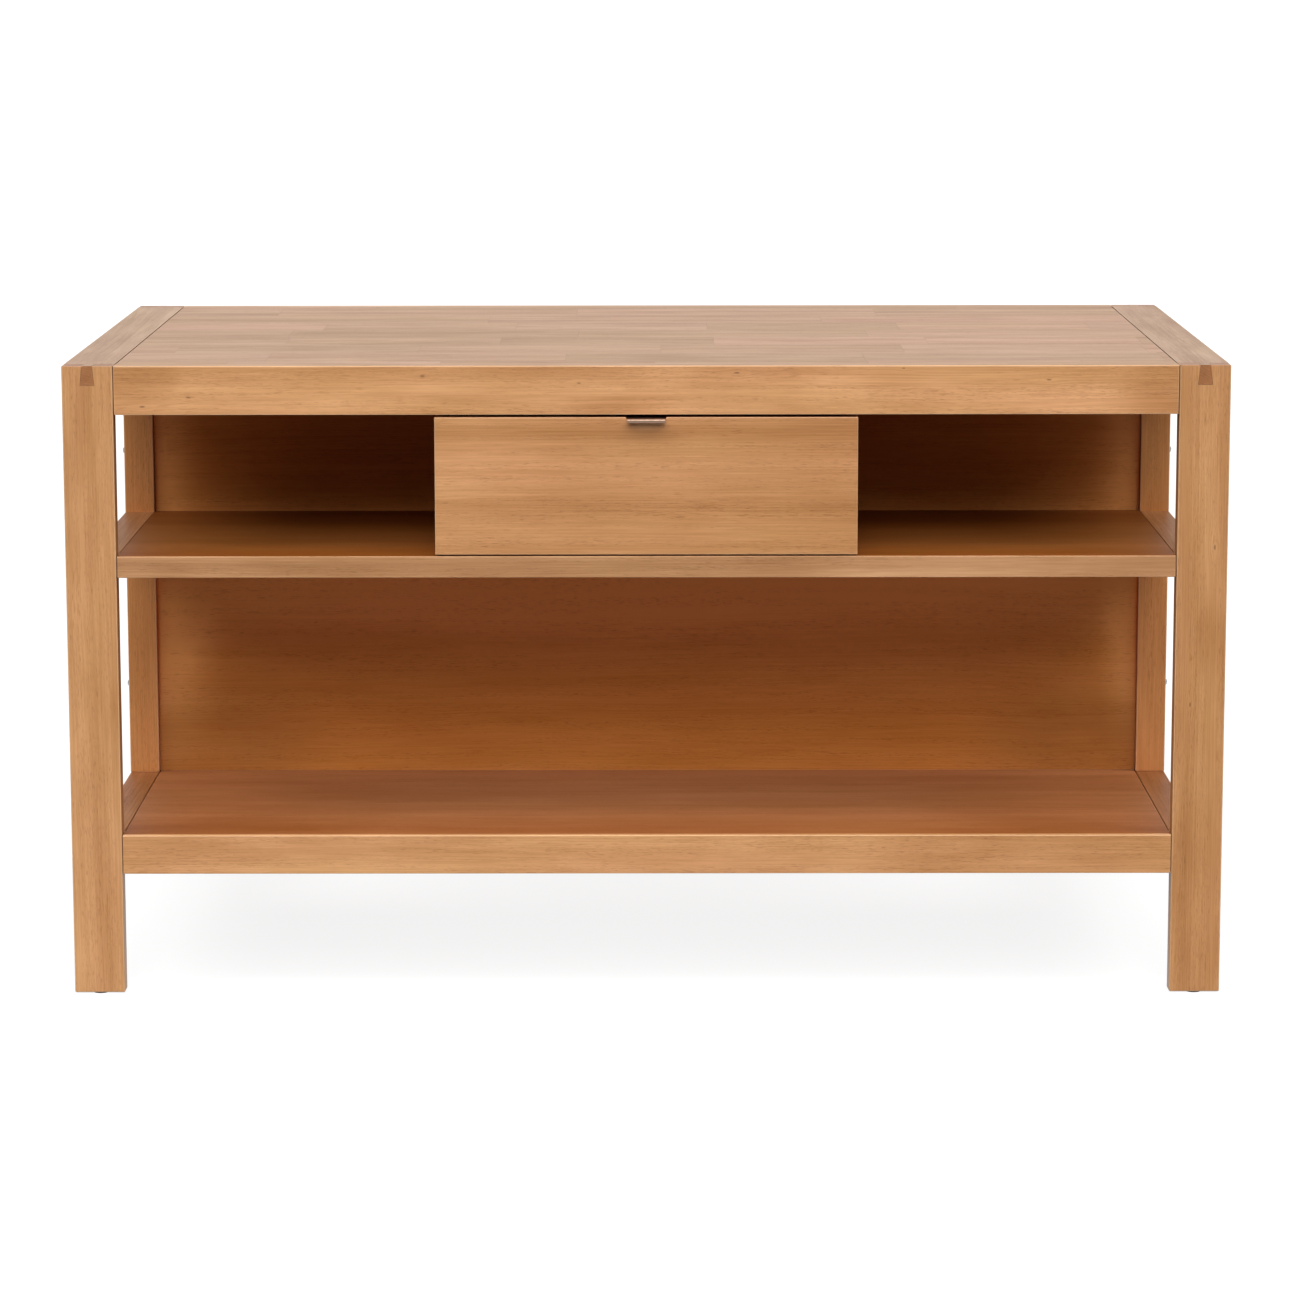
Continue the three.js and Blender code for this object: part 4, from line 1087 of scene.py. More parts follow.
@dataclass
class EndFrame:
    """One end of the island: two legs, the rail over them, and the rails and the post between them.

    Attributes:
        side: Which end it is.
        arris, fine_arris: The radius of the sanded edges, and of the finer ones.
        tail_top, tail_bottom: The dovetail's width.
        fit: The play round the dovetail.
        overrun: How far a cutting piece stands out of what it cuts.
        shoulder: How far a tenon is set in from a rail's faces.
        leg_inside, leg_top, shelf_seam, post_inside: How much painted shade these faces take, as parts of a
        seam or as faces in shade.
        post_edge: How pale the post's inner front edge is, as a painted highlight.
    """

    side: Side
    arris: float = 1.6 * MM
    fine_arris: float = 0.8 * MM
    tail_top: float = 13.7 * MM
    tail_bottom: float = 19.5 * MM
    fit: float = 0.3 * MM
    overrun: float = 5 * MM
    shoulder: float = 7 * MM
    leg_inside: float = -0.3
    leg_top: float = -0.25
    shelf_seam: float = -0.45
    post_inside: float = -0.6
    post_edge: float = 2.0

    def build(self, ledger: Ledger) -> None:
        """Makes every board of this end.

        Args:
            ledger: Where the pieces are entered.
        """
        for end in ("front", "back"):
            self._leg(end, ledger)
        self._end_rail(ledger)
        self._bearer(ledger)
        self._mid_rail(ledger)
        self._lower_rail(ledger)
        self._post(ledger)

    def _node(self, stem: str) -> str:
        """Gives a node's name at this end."""
        return f"{stem}_{self.side.label}"

    def _inward(self, normal: Vector) -> float:
        """Says how much a face looks towards the middle of the island."""
        return -normal.x * self.side.value

    def _shelf_seam(self, centre: Vector, normal: Vector) -> float | None:
        """Marks the upper inner edge of a side rail, which a shelf meets, with painted shade."""
        inner = normal.z > 0.05 and 0.05 < self._inward(normal) < 0.99
        return self.shelf_seam if inner and abs(normal.y) < 0.1 else None

    def _show_outside(self, rail: Piece, ledger: Ledger) -> None:
        """Gives a side rail's outer and lower faces the legs' paler colour; its other faces keep a darker
        copy, which is painted shade.
        """
        ledger.overlay(rail, "outer_rail_timber",
                       lambda centre, normal: self._inward(normal) < -0.3 or normal.z < -0.3)

    def _wedge(self, name: str, growth: float) -> Piece:
        """Makes the dovetail's section over the whole depth of the island, for cutting or joining.

        Args:
            name: The wedge's name.
            growth: How much wider it is on each side.

        Returns:
            The wedge.
        """
        low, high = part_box(self._node("end_rail"))
        middle = (low.x + high.x) / 2
        above = self.overrun if growth else 0.0
        slope = (self.tail_bottom - self.tail_top) / (high.z - low.z)
        bottom = self.tail_bottom / 2 + growth + slope * growth / 2
        top = self.tail_top / 2 + growth - slope * above / 2
        wedge = Bench.board(name, Vector((middle - bottom, low.y - above, low.z - growth)),
                            Vector((middle + bottom, high.y + above, high.z + above)))
        Bench.pick_faces(wedge, lambda centre, normal: normal.z > 0.9)
        bpy.ops.transform.resize(value=(top / bottom, 1, 1), center_override=(middle, 0, high.z))
        Bench.done()
        return wedge

    def _leg(self, end: str, ledger: Ledger) -> None:
        """Makes one leg, with the slot for the dovetail in its top."""
        node = self._node(f"{end}_leg")
        leg = Bench.board(f"{end}_leg_board_{self.side.label}", *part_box(node))
        Bench.ease(leg, self.arris)
        Bench.combine(leg, self._wedge("slot", self.fit), "DIFFERENCE")
        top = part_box(node)[1].z - 2 * self.arris
        ledger.enter(leg, node, "leg_timber", lambda centre, normal: self._leg_look(centre, normal, top))
        # Leg tops take the greyer copy: painted sheen.
        ledger.overlay(leg, "leg_top_timber", lambda centre, normal: normal.z > 0.9)

    def _leg_look(self, centre: Vector, normal: Vector, top: float) -> float | None:
        """Paints a little shade on a leg's inner face and on the edges round its top."""
        if self._inward(normal) > 0.9:
            return self.leg_inside
        return self.leg_top if centre.z > top and 0.05 < normal.z < 0.95 else None

    def _end_rail(self, ledger: Ledger) -> None:
        """Makes the rail over the legs, with a dovetail on each end."""
        node = self._node("end_rail")
        low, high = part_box(node)
        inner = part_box(self._node("front_leg"))[1].y
        rail = Bench.board(f"end_rail_board_{self.side.label}", *trimmed(low, high, 1, inner, -inner))
        Bench.ease(rail, self.fine_arris, 2, lambda a, b: abs(a.y - b.y) > self.arris)
        Bench.combine(rail, self._wedge("tail", 0.0), "UNION")
        # The rail's inner face, in the seam with the top, takes painted shade.
        ledger.enter(rail, node, "end_rail_timber",
                     lambda centre, normal: -1.0 if self._inward(normal) > 0.9 else None)
        # The rail's end faces take the warmer copy; the greyer rest is painted sheen.
        ledger.overlay(rail, "dovetail_timber", lambda centre, normal: abs(normal.y) > 0.9)

    def _between_legs(self, node: str, name: str) -> Piece:
        """Makes a rail that runs from leg to leg, with its tenons.

        Args:
            node: The node that it stands for.
            name: The piece's name.

        Returns:
            The rail.
        """
        low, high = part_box(node)
        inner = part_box(self._node("front_leg"))[1].y
        rail = Bench.board(name, *trimmed(low, high, 1, inner, -inner))
        Bench.ease(rail, self.arris)
        for end, far in ((-1, low.y), (1, high.y)):
            Bench.tenon(rail, Vector((0, end, 0)), *self._tenon_corners(low, high, end * -inner, far))
        return rail

    def _tenon_corners(self, low: Vector, high: Vector, start: float, stop: float) -> tuple[Vector, Vector]:
        """Gives the corners of a tenon that is set in from a rail's faces."""
        set_in = Vector((2 * self.shoulder, 0, self.shoulder))
        return trimmed(low + set_in, high - set_in, 1, start, stop)

    def _bearer(self, ledger: Ledger) -> None:
        """Makes the bearer under the worktop."""
        node = self._node("top_bearer")
        bearer = self._between_legs(node, f"bearer_board_{self.side.label}")
        ledger.enter(bearer, node, "side_rail_timber")
        self._show_outside(bearer, ledger)

    def _lower_rail(self, ledger: Ledger) -> None:
        """Makes the rail at the end of the lower shelf."""
        node = self._node("lower_side_rail")
        rail = self._between_legs(node, f"lower_side_board_{self.side.label}")
        ledger.enter(rail, node, "side_rail_timber", self._shelf_seam)
        self._show_outside(rail, ledger)

    def _mid_rail(self, ledger: Ledger) -> None:
        """Makes the rail at the end of the middle shelf, from the front leg to the post."""
        node = self._node("mid_side_rail")
        low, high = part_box(node)
        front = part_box(self._node("front_leg"))[1].y
        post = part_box(self._node("post"))[0].y
        rail = Bench.board(f"mid_side_board_{self.side.label}", *trimmed(low, high, 1, front, post))
        Bench.ease(rail, self.arris)
        Bench.tenon(rail, Vector((0, -1, 0)), *self._tenon_corners(low, high, low.y, front))
        Bench.tenon(rail, Vector((0, 1, 0)), *self._tenon_corners(low, high, post, high.y))
        ledger.enter(rail, node, "side_rail_timber", self._shelf_seam)
        self._show_outside(rail, ledger)

    def _post(self, ledger: Ledger) -> None:
        """Makes the post at the end of the back panel."""
        node = self._node("post")
        low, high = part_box(node)
        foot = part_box(self._node("lower_side_rail"))[1].z
        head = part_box(self._node("top_bearer"))[0].z
        post = Bench.board(f"post_board_{self.side.label}", *trimmed(low, high, 2, foot, head))
        Bench.ease(post, self.arris)
        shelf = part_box("mid_shelf")[0].z
        Bench.divide(post, shelf)
        set_in = Vector((self.shoulder, self.shoulder, 0))
        start, stop = low + set_in, high - set_in
        Bench.tenon(post, Vector((0, 0, -1)), *trimmed(start, stop, 2, low.z, foot))
        Bench.tenon(post, Vector((0, 0, 1)), *trimmed(start, stop, 2, head, high.z))
        ledger.enter(post, node, "post_timber",
                     lambda centre, normal: self._post_look(centre, normal, shelf))

    def _post_look(self, centre: Vector, normal: Vector, shelf: float) -> float | None:
        """Paints a highlight on a post's inner front edge before the panel, and paints shade on the wall
        behind it above the shelf.
        """
        if self._inward(normal) > 0.99:
            return self.post_inside if centre.z > shelf else None
        return self.post_edge if self._inward(normal) > 0.05 and normal.y < -0.05 else None


@dataclass
class Worktop:
    """The glued top and the apron along each of its long edges."""

    arris: float = 1.8 * MM
    fine_arris: float = 0.9 * MM
    shoulder: Vector = Vector((0, 9, 10)) * MM
    # The seam value is painted shade at the top's ends, and the lower edge value is a painted highlight along
    # each apron's lower edge.
    top_seam: float = -0.5
    worn_edge: float = 2.2

    def build(self, ledger: Ledger) -> None:
        """Makes the top and both aprons."""
        low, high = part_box("tabletop")
        top = Bench.board("worktop_board", low, high)
        Bench.ease(top, self.fine_arris, 2,
                   lambda a, b: min(a.z, b.z) > high.z - MM and abs(a.y - b.y) > self.arris)
        ledger.enter(top, "tabletop", "worktop_timber",
                     lambda centre, normal: self._end_seam(centre, normal, high.x))
        # The underside takes the darker copy of the wood: painted shade.
        ledger.overlay(top, "underside_timber", lambda centre, normal: normal.z < -0.9)
        for end, sign in (("front", -1), ("back", 1)):
            self._apron(f"{end}_apron", sign, ledger)

    def _end_seam(self, centre: Vector, normal: Vector, end: float) -> float | None:
        """Paints shade on both ends of the top, which the end rails meet, and half as much on their upper
        edges.
        """
        if abs(normal.x) > 0.99:
            return -1.0
        return self.top_seam if abs(centre.x) > end - 2 * MM and normal.z < 0.99 else None

    def _apron(self, node: str, sign: int, ledger: Ledger) -> None:
        """Makes one apron, rounded on its outer face only, with a tenon at each end."""
        low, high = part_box(node)
        top_low, top_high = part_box("tabletop")
        face = max(abs(low.y), abs(high.y)) * sign
        apron = Bench.board(f"{node}_board", *trimmed(low, high, 0, top_low.x, top_high.x))

        def outer(a: Vector, b: Vector) -> bool:
            """Says whether an edge lies on the apron's outer face."""
            return abs(a.y - face) < MM and abs(b.y - face) < MM

        Bench.ease(apron, self.arris, 4, lambda a, b: min(a.z, b.z) > high.z - MM and outer(a, b))
        Bench.ease(apron, self.fine_arris, 3, lambda a, b: min(a.z, b.z) < low.z + MM and outer(a, b))
        Bench.house_ends(apron, low, Vector((high.x, high.y, top_low.z)), top_high.x, self.shoulder)
        ledger.enter(apron, node, "apron_timber",
                     lambda centre, normal: self._apron_look(centre, normal, top_high.x, low.z))
        # The apron's top takes the greyer copy: painted sheen.
        ledger.overlay(apron, "apron_top_timber", lambda centre, normal: normal.z > 0.9)

    def _apron_look(self, centre: Vector, normal: Vector, end: float, bottom: float) -> float | None:
        """Paints shade on the roots and tenons, and a highlight on the lower edge, paler than the others."""
        if abs(centre.x) > end - 0.1 * MM:
            return -1.0
        return self.worn_edge if -0.99 < normal.z < -0.05 and centre.z < bottom + MM else None


@dataclass
class Shelving:
    """Both shelves, their rails, and the panel behind them."""

    arris: float = 1.4 * MM
    fine_arris: float = 0.9 * MM
    seam_arris: float = 1.2 * MM
    shoulder: Vector = Vector((0, 9, 10)) * MM
    tongue: Vector = Vector((0, 42, 11)) * MM
    lip_gap: float = 0.3 * MM

    def build(self, ledger: Ledger) -> None:
        """Makes the shelves and dresses the pieces that stay."""
        self._mid_shelf(ledger)
        self._lower_shelf(ledger)
        self._front_rail(ledger)
        for node, finish in (("lower_back_rail", "rail_timber"),
                             ("shelf_cleat_front", "rail_timber"), ("shelf_cleat_left", "side_rail_timber"),
                             ("shelf_cleat_right", "side_rail_timber"), ("centre_bearer", "rail_timber")):
            ledger.coat(node, finish)
        self._panel(ledger)

    def _panel(self, ledger: Ledger) -> None:
        """Makes the panel between the posts, with its edges softened, painted shade and light on its front,
        and a plain copy of the veneer on its back.
        """
        panel = Bench.board("back_panel_board", *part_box("back_panel"))
        Bench.ease(panel, self.fine_arris, 2)
        ledger.enter(panel, "back_panel", "panel_veneer")
        ledger.overlay(panel, "panel_back_veneer", lambda centre, normal: normal.y > 0.1)

    def _mid_shelf(self, ledger: Ledger) -> None:
        """Makes the middle shelf, rounded along its front, with a tongue at each end."""
        low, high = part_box("mid_shelf")
        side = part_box("lower_shelf")[1].x
        shelf = Bench.board("mid_shelf_board", *trimmed(low, high, 0, -side, side))
        self._ease_front(shelf, low, high)
        Bench.house_ends(shelf, low, high, side, self.tongue)
        # The shelf's ends take painted shade in the seams with the side rails.
        ledger.enter(shelf, "mid_shelf", "shelf_edge_timber",
                     lambda centre, normal: -1.0 if abs(centre.x) > side - 0.1 * MM else None)
        # The shelf's faces behind its front edge take the darker copy, which is painted shade.
        ledger.overlay(shelf, "mid_veneer", lambda centre, normal: centre.y > low.y + 2 * MM)

    def _ease_front(self, board: Piece, low: Vector, high: Vector) -> None:
        """Rounds a board's front edges, the upper one more than the lower one."""
        Bench.ease(board, self.arris, 4,
                   lambda a, b: max(a.y, b.y) < low.y + MM and min(a.z, b.z) > high.z - MM)
        Bench.ease(board, self.fine_arris, 3,
                   lambda a, b: max(a.y, b.y) < low.y + MM and max(a.z, b.z) < low.z + MM)

    def _lower_shelf(self, ledger: Ledger) -> None:
        """Makes the lower shelf, whose upper edges take painted shade where other boards meet them."""
        low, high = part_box("lower_shelf")
        shelf = Bench.board("lower_shelf_board", low, high)
        Bench.ease(shelf, self.seam_arris, 2, lambda a, b: min(a.z, b.z) > high.z - MM)
        ledger.enter(shelf, "lower_shelf", "shelf_veneer",
                     lambda centre, normal: min(0.0, normal.y) if 0.05 < normal.z < 0.99 else None)

    def _front_rail(self, ledger: Ledger) -> None:
        """Makes the rail along the front of the lower shelf, with the rebate that the shelf lies in."""
        low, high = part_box("lower_front_rail")
        shelf_low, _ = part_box("lower_shelf")
        top_low, top_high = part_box("tabletop")
        lip = shelf_low.y - self.lip_gap
        rail = Bench.board("lower_front_board", *trimmed(low, high, 0, top_low.x, top_high.x))
        rebate = Bench.board("rebate", Vector((top_low.x - MM, lip, shelf_low.z)),
                             Vector((top_high.x + MM, high.y + MM, high.z + MM)))
        Bench.combine(rail, rebate, "DIFFERENCE")
        Bench.ease(rail, self.seam_arris, 2,
                   lambda a, b: min(a.z, b.z) > high.z - MM and min(a.y, b.y) > lip - MM)
        self._ease_front(rail, low, high)
        top = Vector((high.x, high.y, shelf_low.z + self.shoulder.z))
        Bench.house_ends(rail, low, top, top_high.x, self.shoulder)
        ledger.enter(rail, "lower_front_rail", "rail_timber",
                     lambda centre, normal: self._rail_look(centre, normal, top_high.x, lip))

    @staticmethod
    def _rail_look(centre: Vector, normal: Vector, end: float, lip: float) -> float | None:
        """Paints shade on the roots and tenons, and on the edge behind the lip."""
        hidden = abs(centre.x) > end - 0.1 * MM
        behind = centre.y > lip - 3 * MM and 0.05 < normal.z < 0.99
        return -1.0 if hidden or behind else None


@dataclass
class Drawer:
    """The drawer with its box, its pull and its runners, and the dividers that carry it."""

    arris: float = 1.8 * MM
    fine_arris: float = 1.0 * MM
    sheet: float = 2 * MM
    bend: float = 0.5 * MM
    lip: float = 5.4 * MM
    lip_corner: float = 1.4 * MM
    fit: float = 0.3 * MM
    notch_flare: float = 2.0 * MM

    def build(self, ledger: Ledger) -> None:
        """Makes the front, the box and the pull, and dresses what stays."""
        self._front(ledger)
        self._box(ledger)
        self._pull(ledger)
        for side in Side:
            ledger.coat(f"drawer_divider_{side.label}", "divider_veneer")
            ledger.coat(f"drawer_pad_{side.label}", "pad_rubber")
            ledger.coat(f"pull_screw_{side.label}", "zinc_plate")
            for part in ("fixed", "middle", "drawer"):
                ledger.coat(f"runner_{part}_{side.label}", "zinc_plate")

    def _front(self, ledger: Ledger) -> None:
        """Makes the drawer front, with the notch that the pull lies in, wider at its top."""
        low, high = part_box("drawer_front")
        pull_low, pull_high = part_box("drawer_pull")
        front = Bench.board("drawer_front_board", low, high)
        Bench.ease(front, self.fine_arris, 3)
        bottom = pull_high.z - self.sheet - self.fit
        notch = Bench.board("notch", Vector((pull_low.x - self.fit, low.y - MM, bottom)),
                            Vector((pull_high.x + self.fit, high.y + MM, high.z + MM)))
        width = pull_high.x - pull_low.x + 2 * self.fit
        Bench.pick_faces(notch, lambda centre, normal: normal.z > 0.9)
        bpy.ops.transform.resize(value=(1 + 2 * self.notch_flare / width, 1, 1),
                                 center_override=((pull_low.x + pull_high.x) / 2, 0, high.z))
        Bench.done()
        Bench.combine(front, notch, "DIFFERENCE")
        ledger.enter(front, "drawer_front", "drawer_timber")

    def _box(self, ledger: Ledger) -> None:
        """Makes the four walls of the drawer box with rounded top edges."""
        for node, finish in (("side_left", "box_side_timber"), ("side_right", "box_side_timber"),
                             ("box_front", "box_timber"), ("box_back", "box_timber")):
            low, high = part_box(f"drawer_{node}")
            wall = Bench.board(f"drawer_{node}_board", low, high)
            Bench.ease(wall, self.arris, 3, lambda a, b: min(a.z, b.z) > high.z - MM)
            ledger.enter(wall, f"drawer_{node}", finish)
        ledger.coat("drawer_bottom", "box_timber")

    def _pull(self, ledger: Ledger) -> None:
        """Bends the pull out of one strip of sheet: a flange, a plate over the front and a lip."""
        low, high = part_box("drawer_pull")
        Bench.clear()
        bpy.ops.mesh.primitive_plane_add(size=1, rotation=(math.pi / 2, 0, 0), location=(
            (low.x + high.x) / 2, high.y, (low.z + high.z) / 2))
        bpy.context.object.scale = (high.x - low.x, high.z - low.z, 1)
        pull = Bench.settle("drawer_pull_strip")
        Bench.pick_edges(pull, lambda a, b: min(a.z, b.z) > high.z - self.fit)
        bpy.ops.mesh.extrude_region_move(TRANSFORM_OT_translate={"value": (0, low.y - high.y, 0)})
        bpy.ops.mesh.extrude_region_move(TRANSFORM_OT_translate={"value": (0, 0, -self.lip)})
        bpy.ops.mesh.select_all(action="SELECT")
        bpy.ops.mesh.normals_make_consistent(inside=False)
        Bench.done()
        self._turn_outwards(pull)
        wall = pull.modifiers.new("sheet", "SOLIDIFY")
        wall.thickness = self.sheet
        wall.offset = -1
        wall.use_even_offset = True
        bpy.ops.object.modifier_apply(modifier=wall.name)
        corner = {low.y, high.y}
        Bench.ease(pull, self.bend + self.sheet, 6,
                   lambda a, b: self._is_fold(a, b, high.z, corner, 0.0))
        Bench.ease(pull, self.bend, 5,
                   lambda a, b: self._is_fold(a, b, high.z - self.sheet, corner, self.sheet))
        Bench.ease(pull, self.lip_corner, 4,
                   lambda a, b: abs(a.y - b.y) > MM and max(a.y, b.y) < low.y + 3 * MM
                   and abs(a.z - b.z) < 0.1 * MM and a.z < high.z - self.lip + MM)
        Bench.round_look(pull, 25)
        ledger.enter(pull, "drawer_pull", "pull_steel")

    @staticmethod
    def _turn_outwards(pull: Piece) -> None:
        """Turns the strip over where its plate faces down."""
        plate = max(pull.data.polygons, key=lambda face: face.center.z)
        if plate.normal.z < 0:
            Bench.pick_all(pull)
            bpy.ops.mesh.flip_normals()
            Bench.done()

    @staticmethod
    def _is_fold(a: Vector, b: Vector, height: float, faces: set[float], inset: float) -> bool:
        """Says whether an edge is one of the two folds of the sheet, on its outer or inner face."""
        level = abs(a.z - height) < 0.1 * MM and abs(b.z - height) < 0.1 * MM
        along = abs(a.x - b.x) > MM
        near = min(abs(abs(a.y - face) - inset) for face in faces) < 0.1 * MM
        return level and along and near


@dataclass
class Fasteners:
    """The bolts through the posts, their sleeves and the glides under the legs."""

    socket: float = 4 * MM
    shank: float = 3 * MM
    nail: float = 1.2 * MM
    dome: float = 0.92
    dome_steps: int = 6

    def build(self, ledger: Ledger) -> None:
        """Makes the bolts and the glides, and dresses the sleeves."""
        for side in Side:
            for level in ("upper", "lower"):
                self._bolt(f"post_bolt_{level}_{side.label}", side, ledger)
                ledger.coat(f"panel_sleeve_{level}_{side.label}", "zinc_plate")
            for end in ("front", "back"):
                self._glide(f"glide_{end}_{side.label}", ledger)

    def _bolt(self, node: str, side: Side, ledger: Ledger) -> None:
        """Makes one bolt with a domed head and a hexagon socket."""
        low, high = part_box(node)
        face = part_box(f"post_{side.label}")[0 if side is Side.LEFT else 1].x
        tip = high.x if side is Side.LEFT else low.x
        crown = low.x if side is Side.LEFT else high.x
        middle = (low + high) / 2
        radius = (high.z - low.z) / 2
        bolt = Bench.rod(f"{node}_turned", Vector(((crown + face) / 2, middle.y, middle.z)), radius,
                         abs(crown - face), Run.X)
        Bench.ease(bolt, abs(crown - face) * self.dome, self.dome_steps,
                   lambda a, b: abs(a.x - crown) < 0.1 * MM and abs(b.x - crown) < 0.1 * MM)
        hexagon = Bench.rod("socket", Vector((crown, middle.y, middle.z)), self.socket / 2,
                            abs(crown - face) * 1.1, Run.X, 6)
        Bench.combine(bolt, hexagon, "DIFFERENCE")
        shank = Bench.rod("shank", Vector(((face + tip) / 2, middle.y, middle.z)), self.shank,
                          abs(tip - face) + MM, Run.X, 32)
        Bench.combine(bolt, shank, "UNION")
        Bench.round_look(bolt, 35)
        ledger.enter(bolt, node, "zinc_plate")

    def _glide(self, node: str, ledger: Ledger) -> None:
        """Makes one glide: a round foot with a rounded rim on a nail."""
        low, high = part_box(node)
        middle = (low + high) / 2
        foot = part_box("front_leg_left")[0].z
        glide = Bench.rod(f"{node}_turned", Vector((middle.x, middle.y, foot / 2)), (high.x - low.x) / 2,
                          foot, Run.Z)
        Bench.ease(glide, foot * 0.4, 3, lambda a, b: max(a.z, b.z) < 0.1 * MM)
        nail = Bench.rod("nail", Vector((middle.x, middle.y, (high.z + foot) / 2)), self.nail,
                         high.z - foot + MM, Run.Z, 16)
        Bench.combine(glide, nail, "UNION")
        Bench.round_look(glide)
        ledger.enter(glide, node, "glide_nylon")


@dataclass(frozen=True)
class Sun:
    """A wide soft lamp far away, given by where it stands in the sky and how wide it looks."""

    name: str
    azimuth: float
    elevation: float
    width: float
    level: float

    def hang(self) -> None:
        """Adds the lamp."""
        Bench.clear()
        bpy.ops.object.light_add(type="SUN", location=(0, 0, 4))
        lamp = bpy.context.object
        lamp.name = self.name
        lamp.rotation_euler = (math.radians(90 - self.elevation), 0, math.radians(self.azimuth))
        lamp.data.energy = self.level * math.pi
        lamp.data.angle = math.radians(self.width)


@dataclass(frozen=True)
class Sky:
    """How bright the studio's walls are: in front of the island, at its sides, behind it and above."""

    front: float
    side: float
    back: float
    top: float

    def level(self, tree: Tree, way: Socket) -> Socket:
        """Works out the brightness in each direction.

        Args:
            tree: The world's node tree.
            way: The direction.

        Returns:
            The brightness.
        """
        x, y, z = tree.split(way)
        side = tree.remap(tree.maths("ABSOLUTE", x), 0.35, 0.95, 0.0, self.side - self.front)
        back = tree.remap(y, -0.1, 0.6, 0.0, self.back - self.front)
        above = tree.maths("MAXIMUM", z, 0.0)
        low = tree.maths("POWER", tree.minus(1.0, above), 1.5)
        walls = tree.maths("MULTIPLY_ADD", tree.maths("MAXIMUM", side, back), low, self.front)
        return tree.maths("MULTIPLY_ADD", above, self.top, walls)


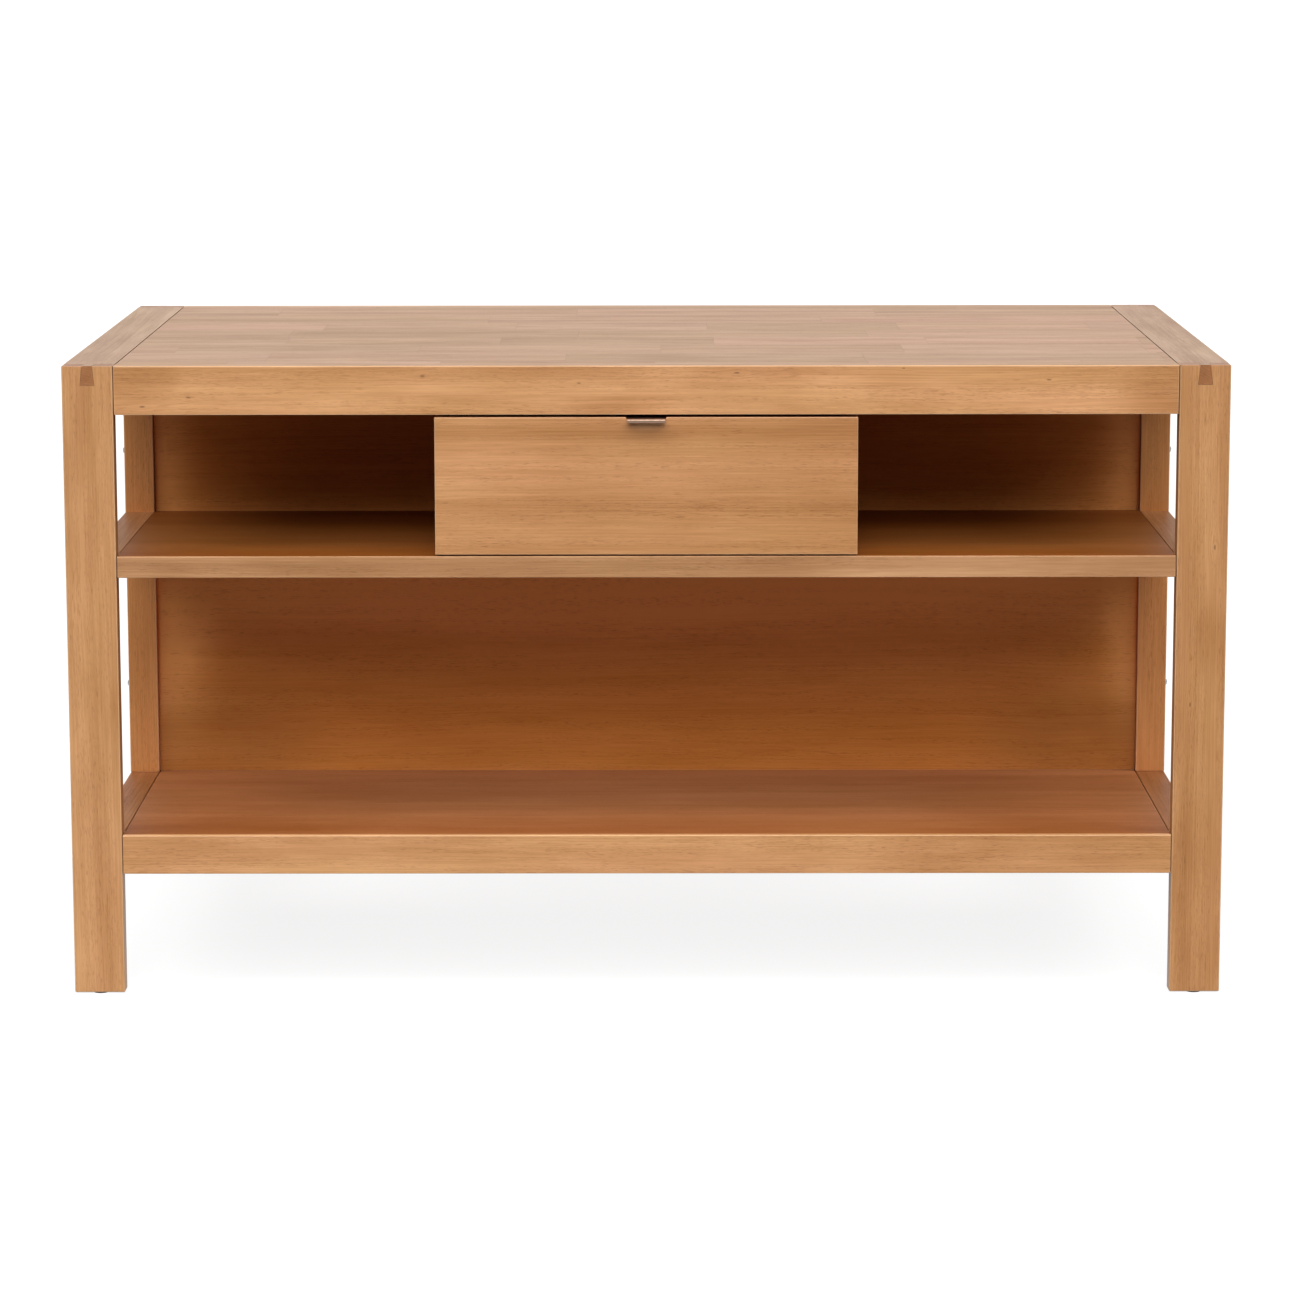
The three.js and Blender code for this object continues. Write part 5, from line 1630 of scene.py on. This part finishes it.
@dataclass
class Studio:
    """A pale floor in a white studio that is dim in front of the island, with soft lamps."""

    light: Sky = Sky(front=0.03, side=0.35, back=0.75, top=0.04)
    mirrored: Sky = Sky(front=0.05, side=0.50, back=0.80, top=0.03)
    floor_seen: float = 0.22
    floor_bounce: float = 0.13
    floor_lift: float = 0.85
    floor_size: float = 160.0
    suns: tuple[Sun, ...] = (
        Sun("front_lamp", 0, 48, 56, 0.70),
        Sun("low_lamp", 0, 29, 20, 0.20),
        Sun("left_lamp", -70, 50, 30, 0.38),
        Sun("right_lamp", 70, 50, 30, 0.38),
        Sun("back_lamp", 180, 28, 60, 0.12),
    )

    def build(self) -> None:
        """Lays the floor, hangs the lamps and sets the sky and the view."""
        self._floor()
        self._sky()
        for sun in self.suns:
            sun.hang()
        bpy.context.scene.view_settings.view_transform = "Standard"

    def _floor(self) -> None:
        """Lays a floor that shows white but for the island's shadow, and throws little light back."""
        Bench.clear()
        bpy.ops.mesh.primitive_plane_add(size=self.floor_size, location=(0, 0, 0))
        floor = Bench.settle("studio_floor")
        sheet = Sheet("floor_paint")
        rays = sheet.add("ShaderNodeLightPath")
        seen = sheet.maths("MAXIMUM", rays.outputs["Is Camera Ray"], rays.outputs["Is Glossy Ray"])
        grey = sheet.maths("MULTIPLY_ADD", seen, self.floor_seen - self.floor_bounce, self.floor_bounce)
        matt = sheet.add("ShaderNodeBsdfDiffuse", inputs={"Color": sheet.join(grey, grey, grey)})
        glow = sheet.add("ShaderNodeEmission", inputs={
            "Color": (1, 1, 1, 1), "Strength": sheet.times(seen, self.floor_lift)})
        both = sheet.add("ShaderNodeAddShader", inputs={0: matt.outputs[0], 1: glow.outputs[0]})
        sheet.tree.links.new(both.outputs[0], sheet.output.inputs["Surface"])
        floor.data.materials.append(sheet.material)

    def _sky(self) -> None:
        """Hangs the sky, which is white wherever the camera sees it."""
        world = bpy.data.worlds.new("studio_sky")
        bpy.context.scene.world = world
        world.use_nodes = True
        tree = Tree(world.node_tree)
        way = tree.add("ShaderNodeTexCoord").outputs["Generated"]
        rays = tree.add("ShaderNodeLightPath")
        light = self.light.level(tree, way)
        mirrored = self.mirrored.level(tree, way)
        level = tree.maths("MULTIPLY_ADD", rays.outputs["Is Glossy Ray"],
                           tree.minus(mirrored, light), light)
        seen = tree.maths("MAXIMUM", rays.outputs["Is Camera Ray"], rays.outputs["Is Transmission Ray"])
        level = tree.maths("MULTIPLY_ADD", seen, tree.minus(1.0, level), level)
        shine = tree.add("ShaderNodeBackground", inputs={"Strength": level})
        out = tree.add("ShaderNodeOutputWorld")
        tree.tree.links.new(shine.outputs[0], out.inputs["Surface"])


@dataclass(frozen=True)
class PhotoCamera:
    """The camera at the photograph's viewing angle, with a small shift.

    Attributes:
        place: Where it stands.
        pitch, turn, roll: How far it looks down, to the left and askew, in degrees.
        shift: How far the picture lies below its axis, as a share of the picture.
        focal_pixels: Its focal length in pixels of the picture.
        picture_pixels: The width of the picture.
        film: The width of its film, in millimetres.
        reach: How far it sees.
    """

    place: tuple[float, float, float] = (0.014, -6.1919, 1.4918)
    pitch: float = 8.863
    turn: float = 0.079
    roll: float = 0.07
    shift: float = 0.06
    focal_pixels: float = 4219.9
    picture_pixels: float = 1300
    film: float = 36
    reach: float = 500

    def build(self) -> None:
        """Adds the camera and makes it the scene's own."""
        Bench.clear()
        bpy.ops.object.camera_add(location=self.place, rotation=(
            math.radians(90 - self.pitch), math.radians(self.roll), math.radians(self.turn)))
        camera = bpy.context.object
        camera.name = "photo_camera"
        camera.data.sensor_fit = "HORIZONTAL"
        camera.data.sensor_width = self.film
        camera.data.lens = self.focal_pixels / self.picture_pixels * self.film
        camera.data.shift_y = -self.shift
        camera.data.clip_end = self.reach
        bpy.context.scene.camera = camera


def main() -> None:
    """Builds the island, the studio and the camera in order."""
    logging.basicConfig(level=logging.INFO, format="%(name)s: %(message)s")
    PhotoCamera().build()
    Studio().build()
    ledger = Ledger(Store())
    for side in Side:
        EndFrame(side).build(ledger)
    Worktop().build(ledger)
    Shelving().build(ledger)
    Drawer().build(ledger)
    Fasteners().build(ledger)
    Bench.clear()


if __name__ == "__main__":
    main()
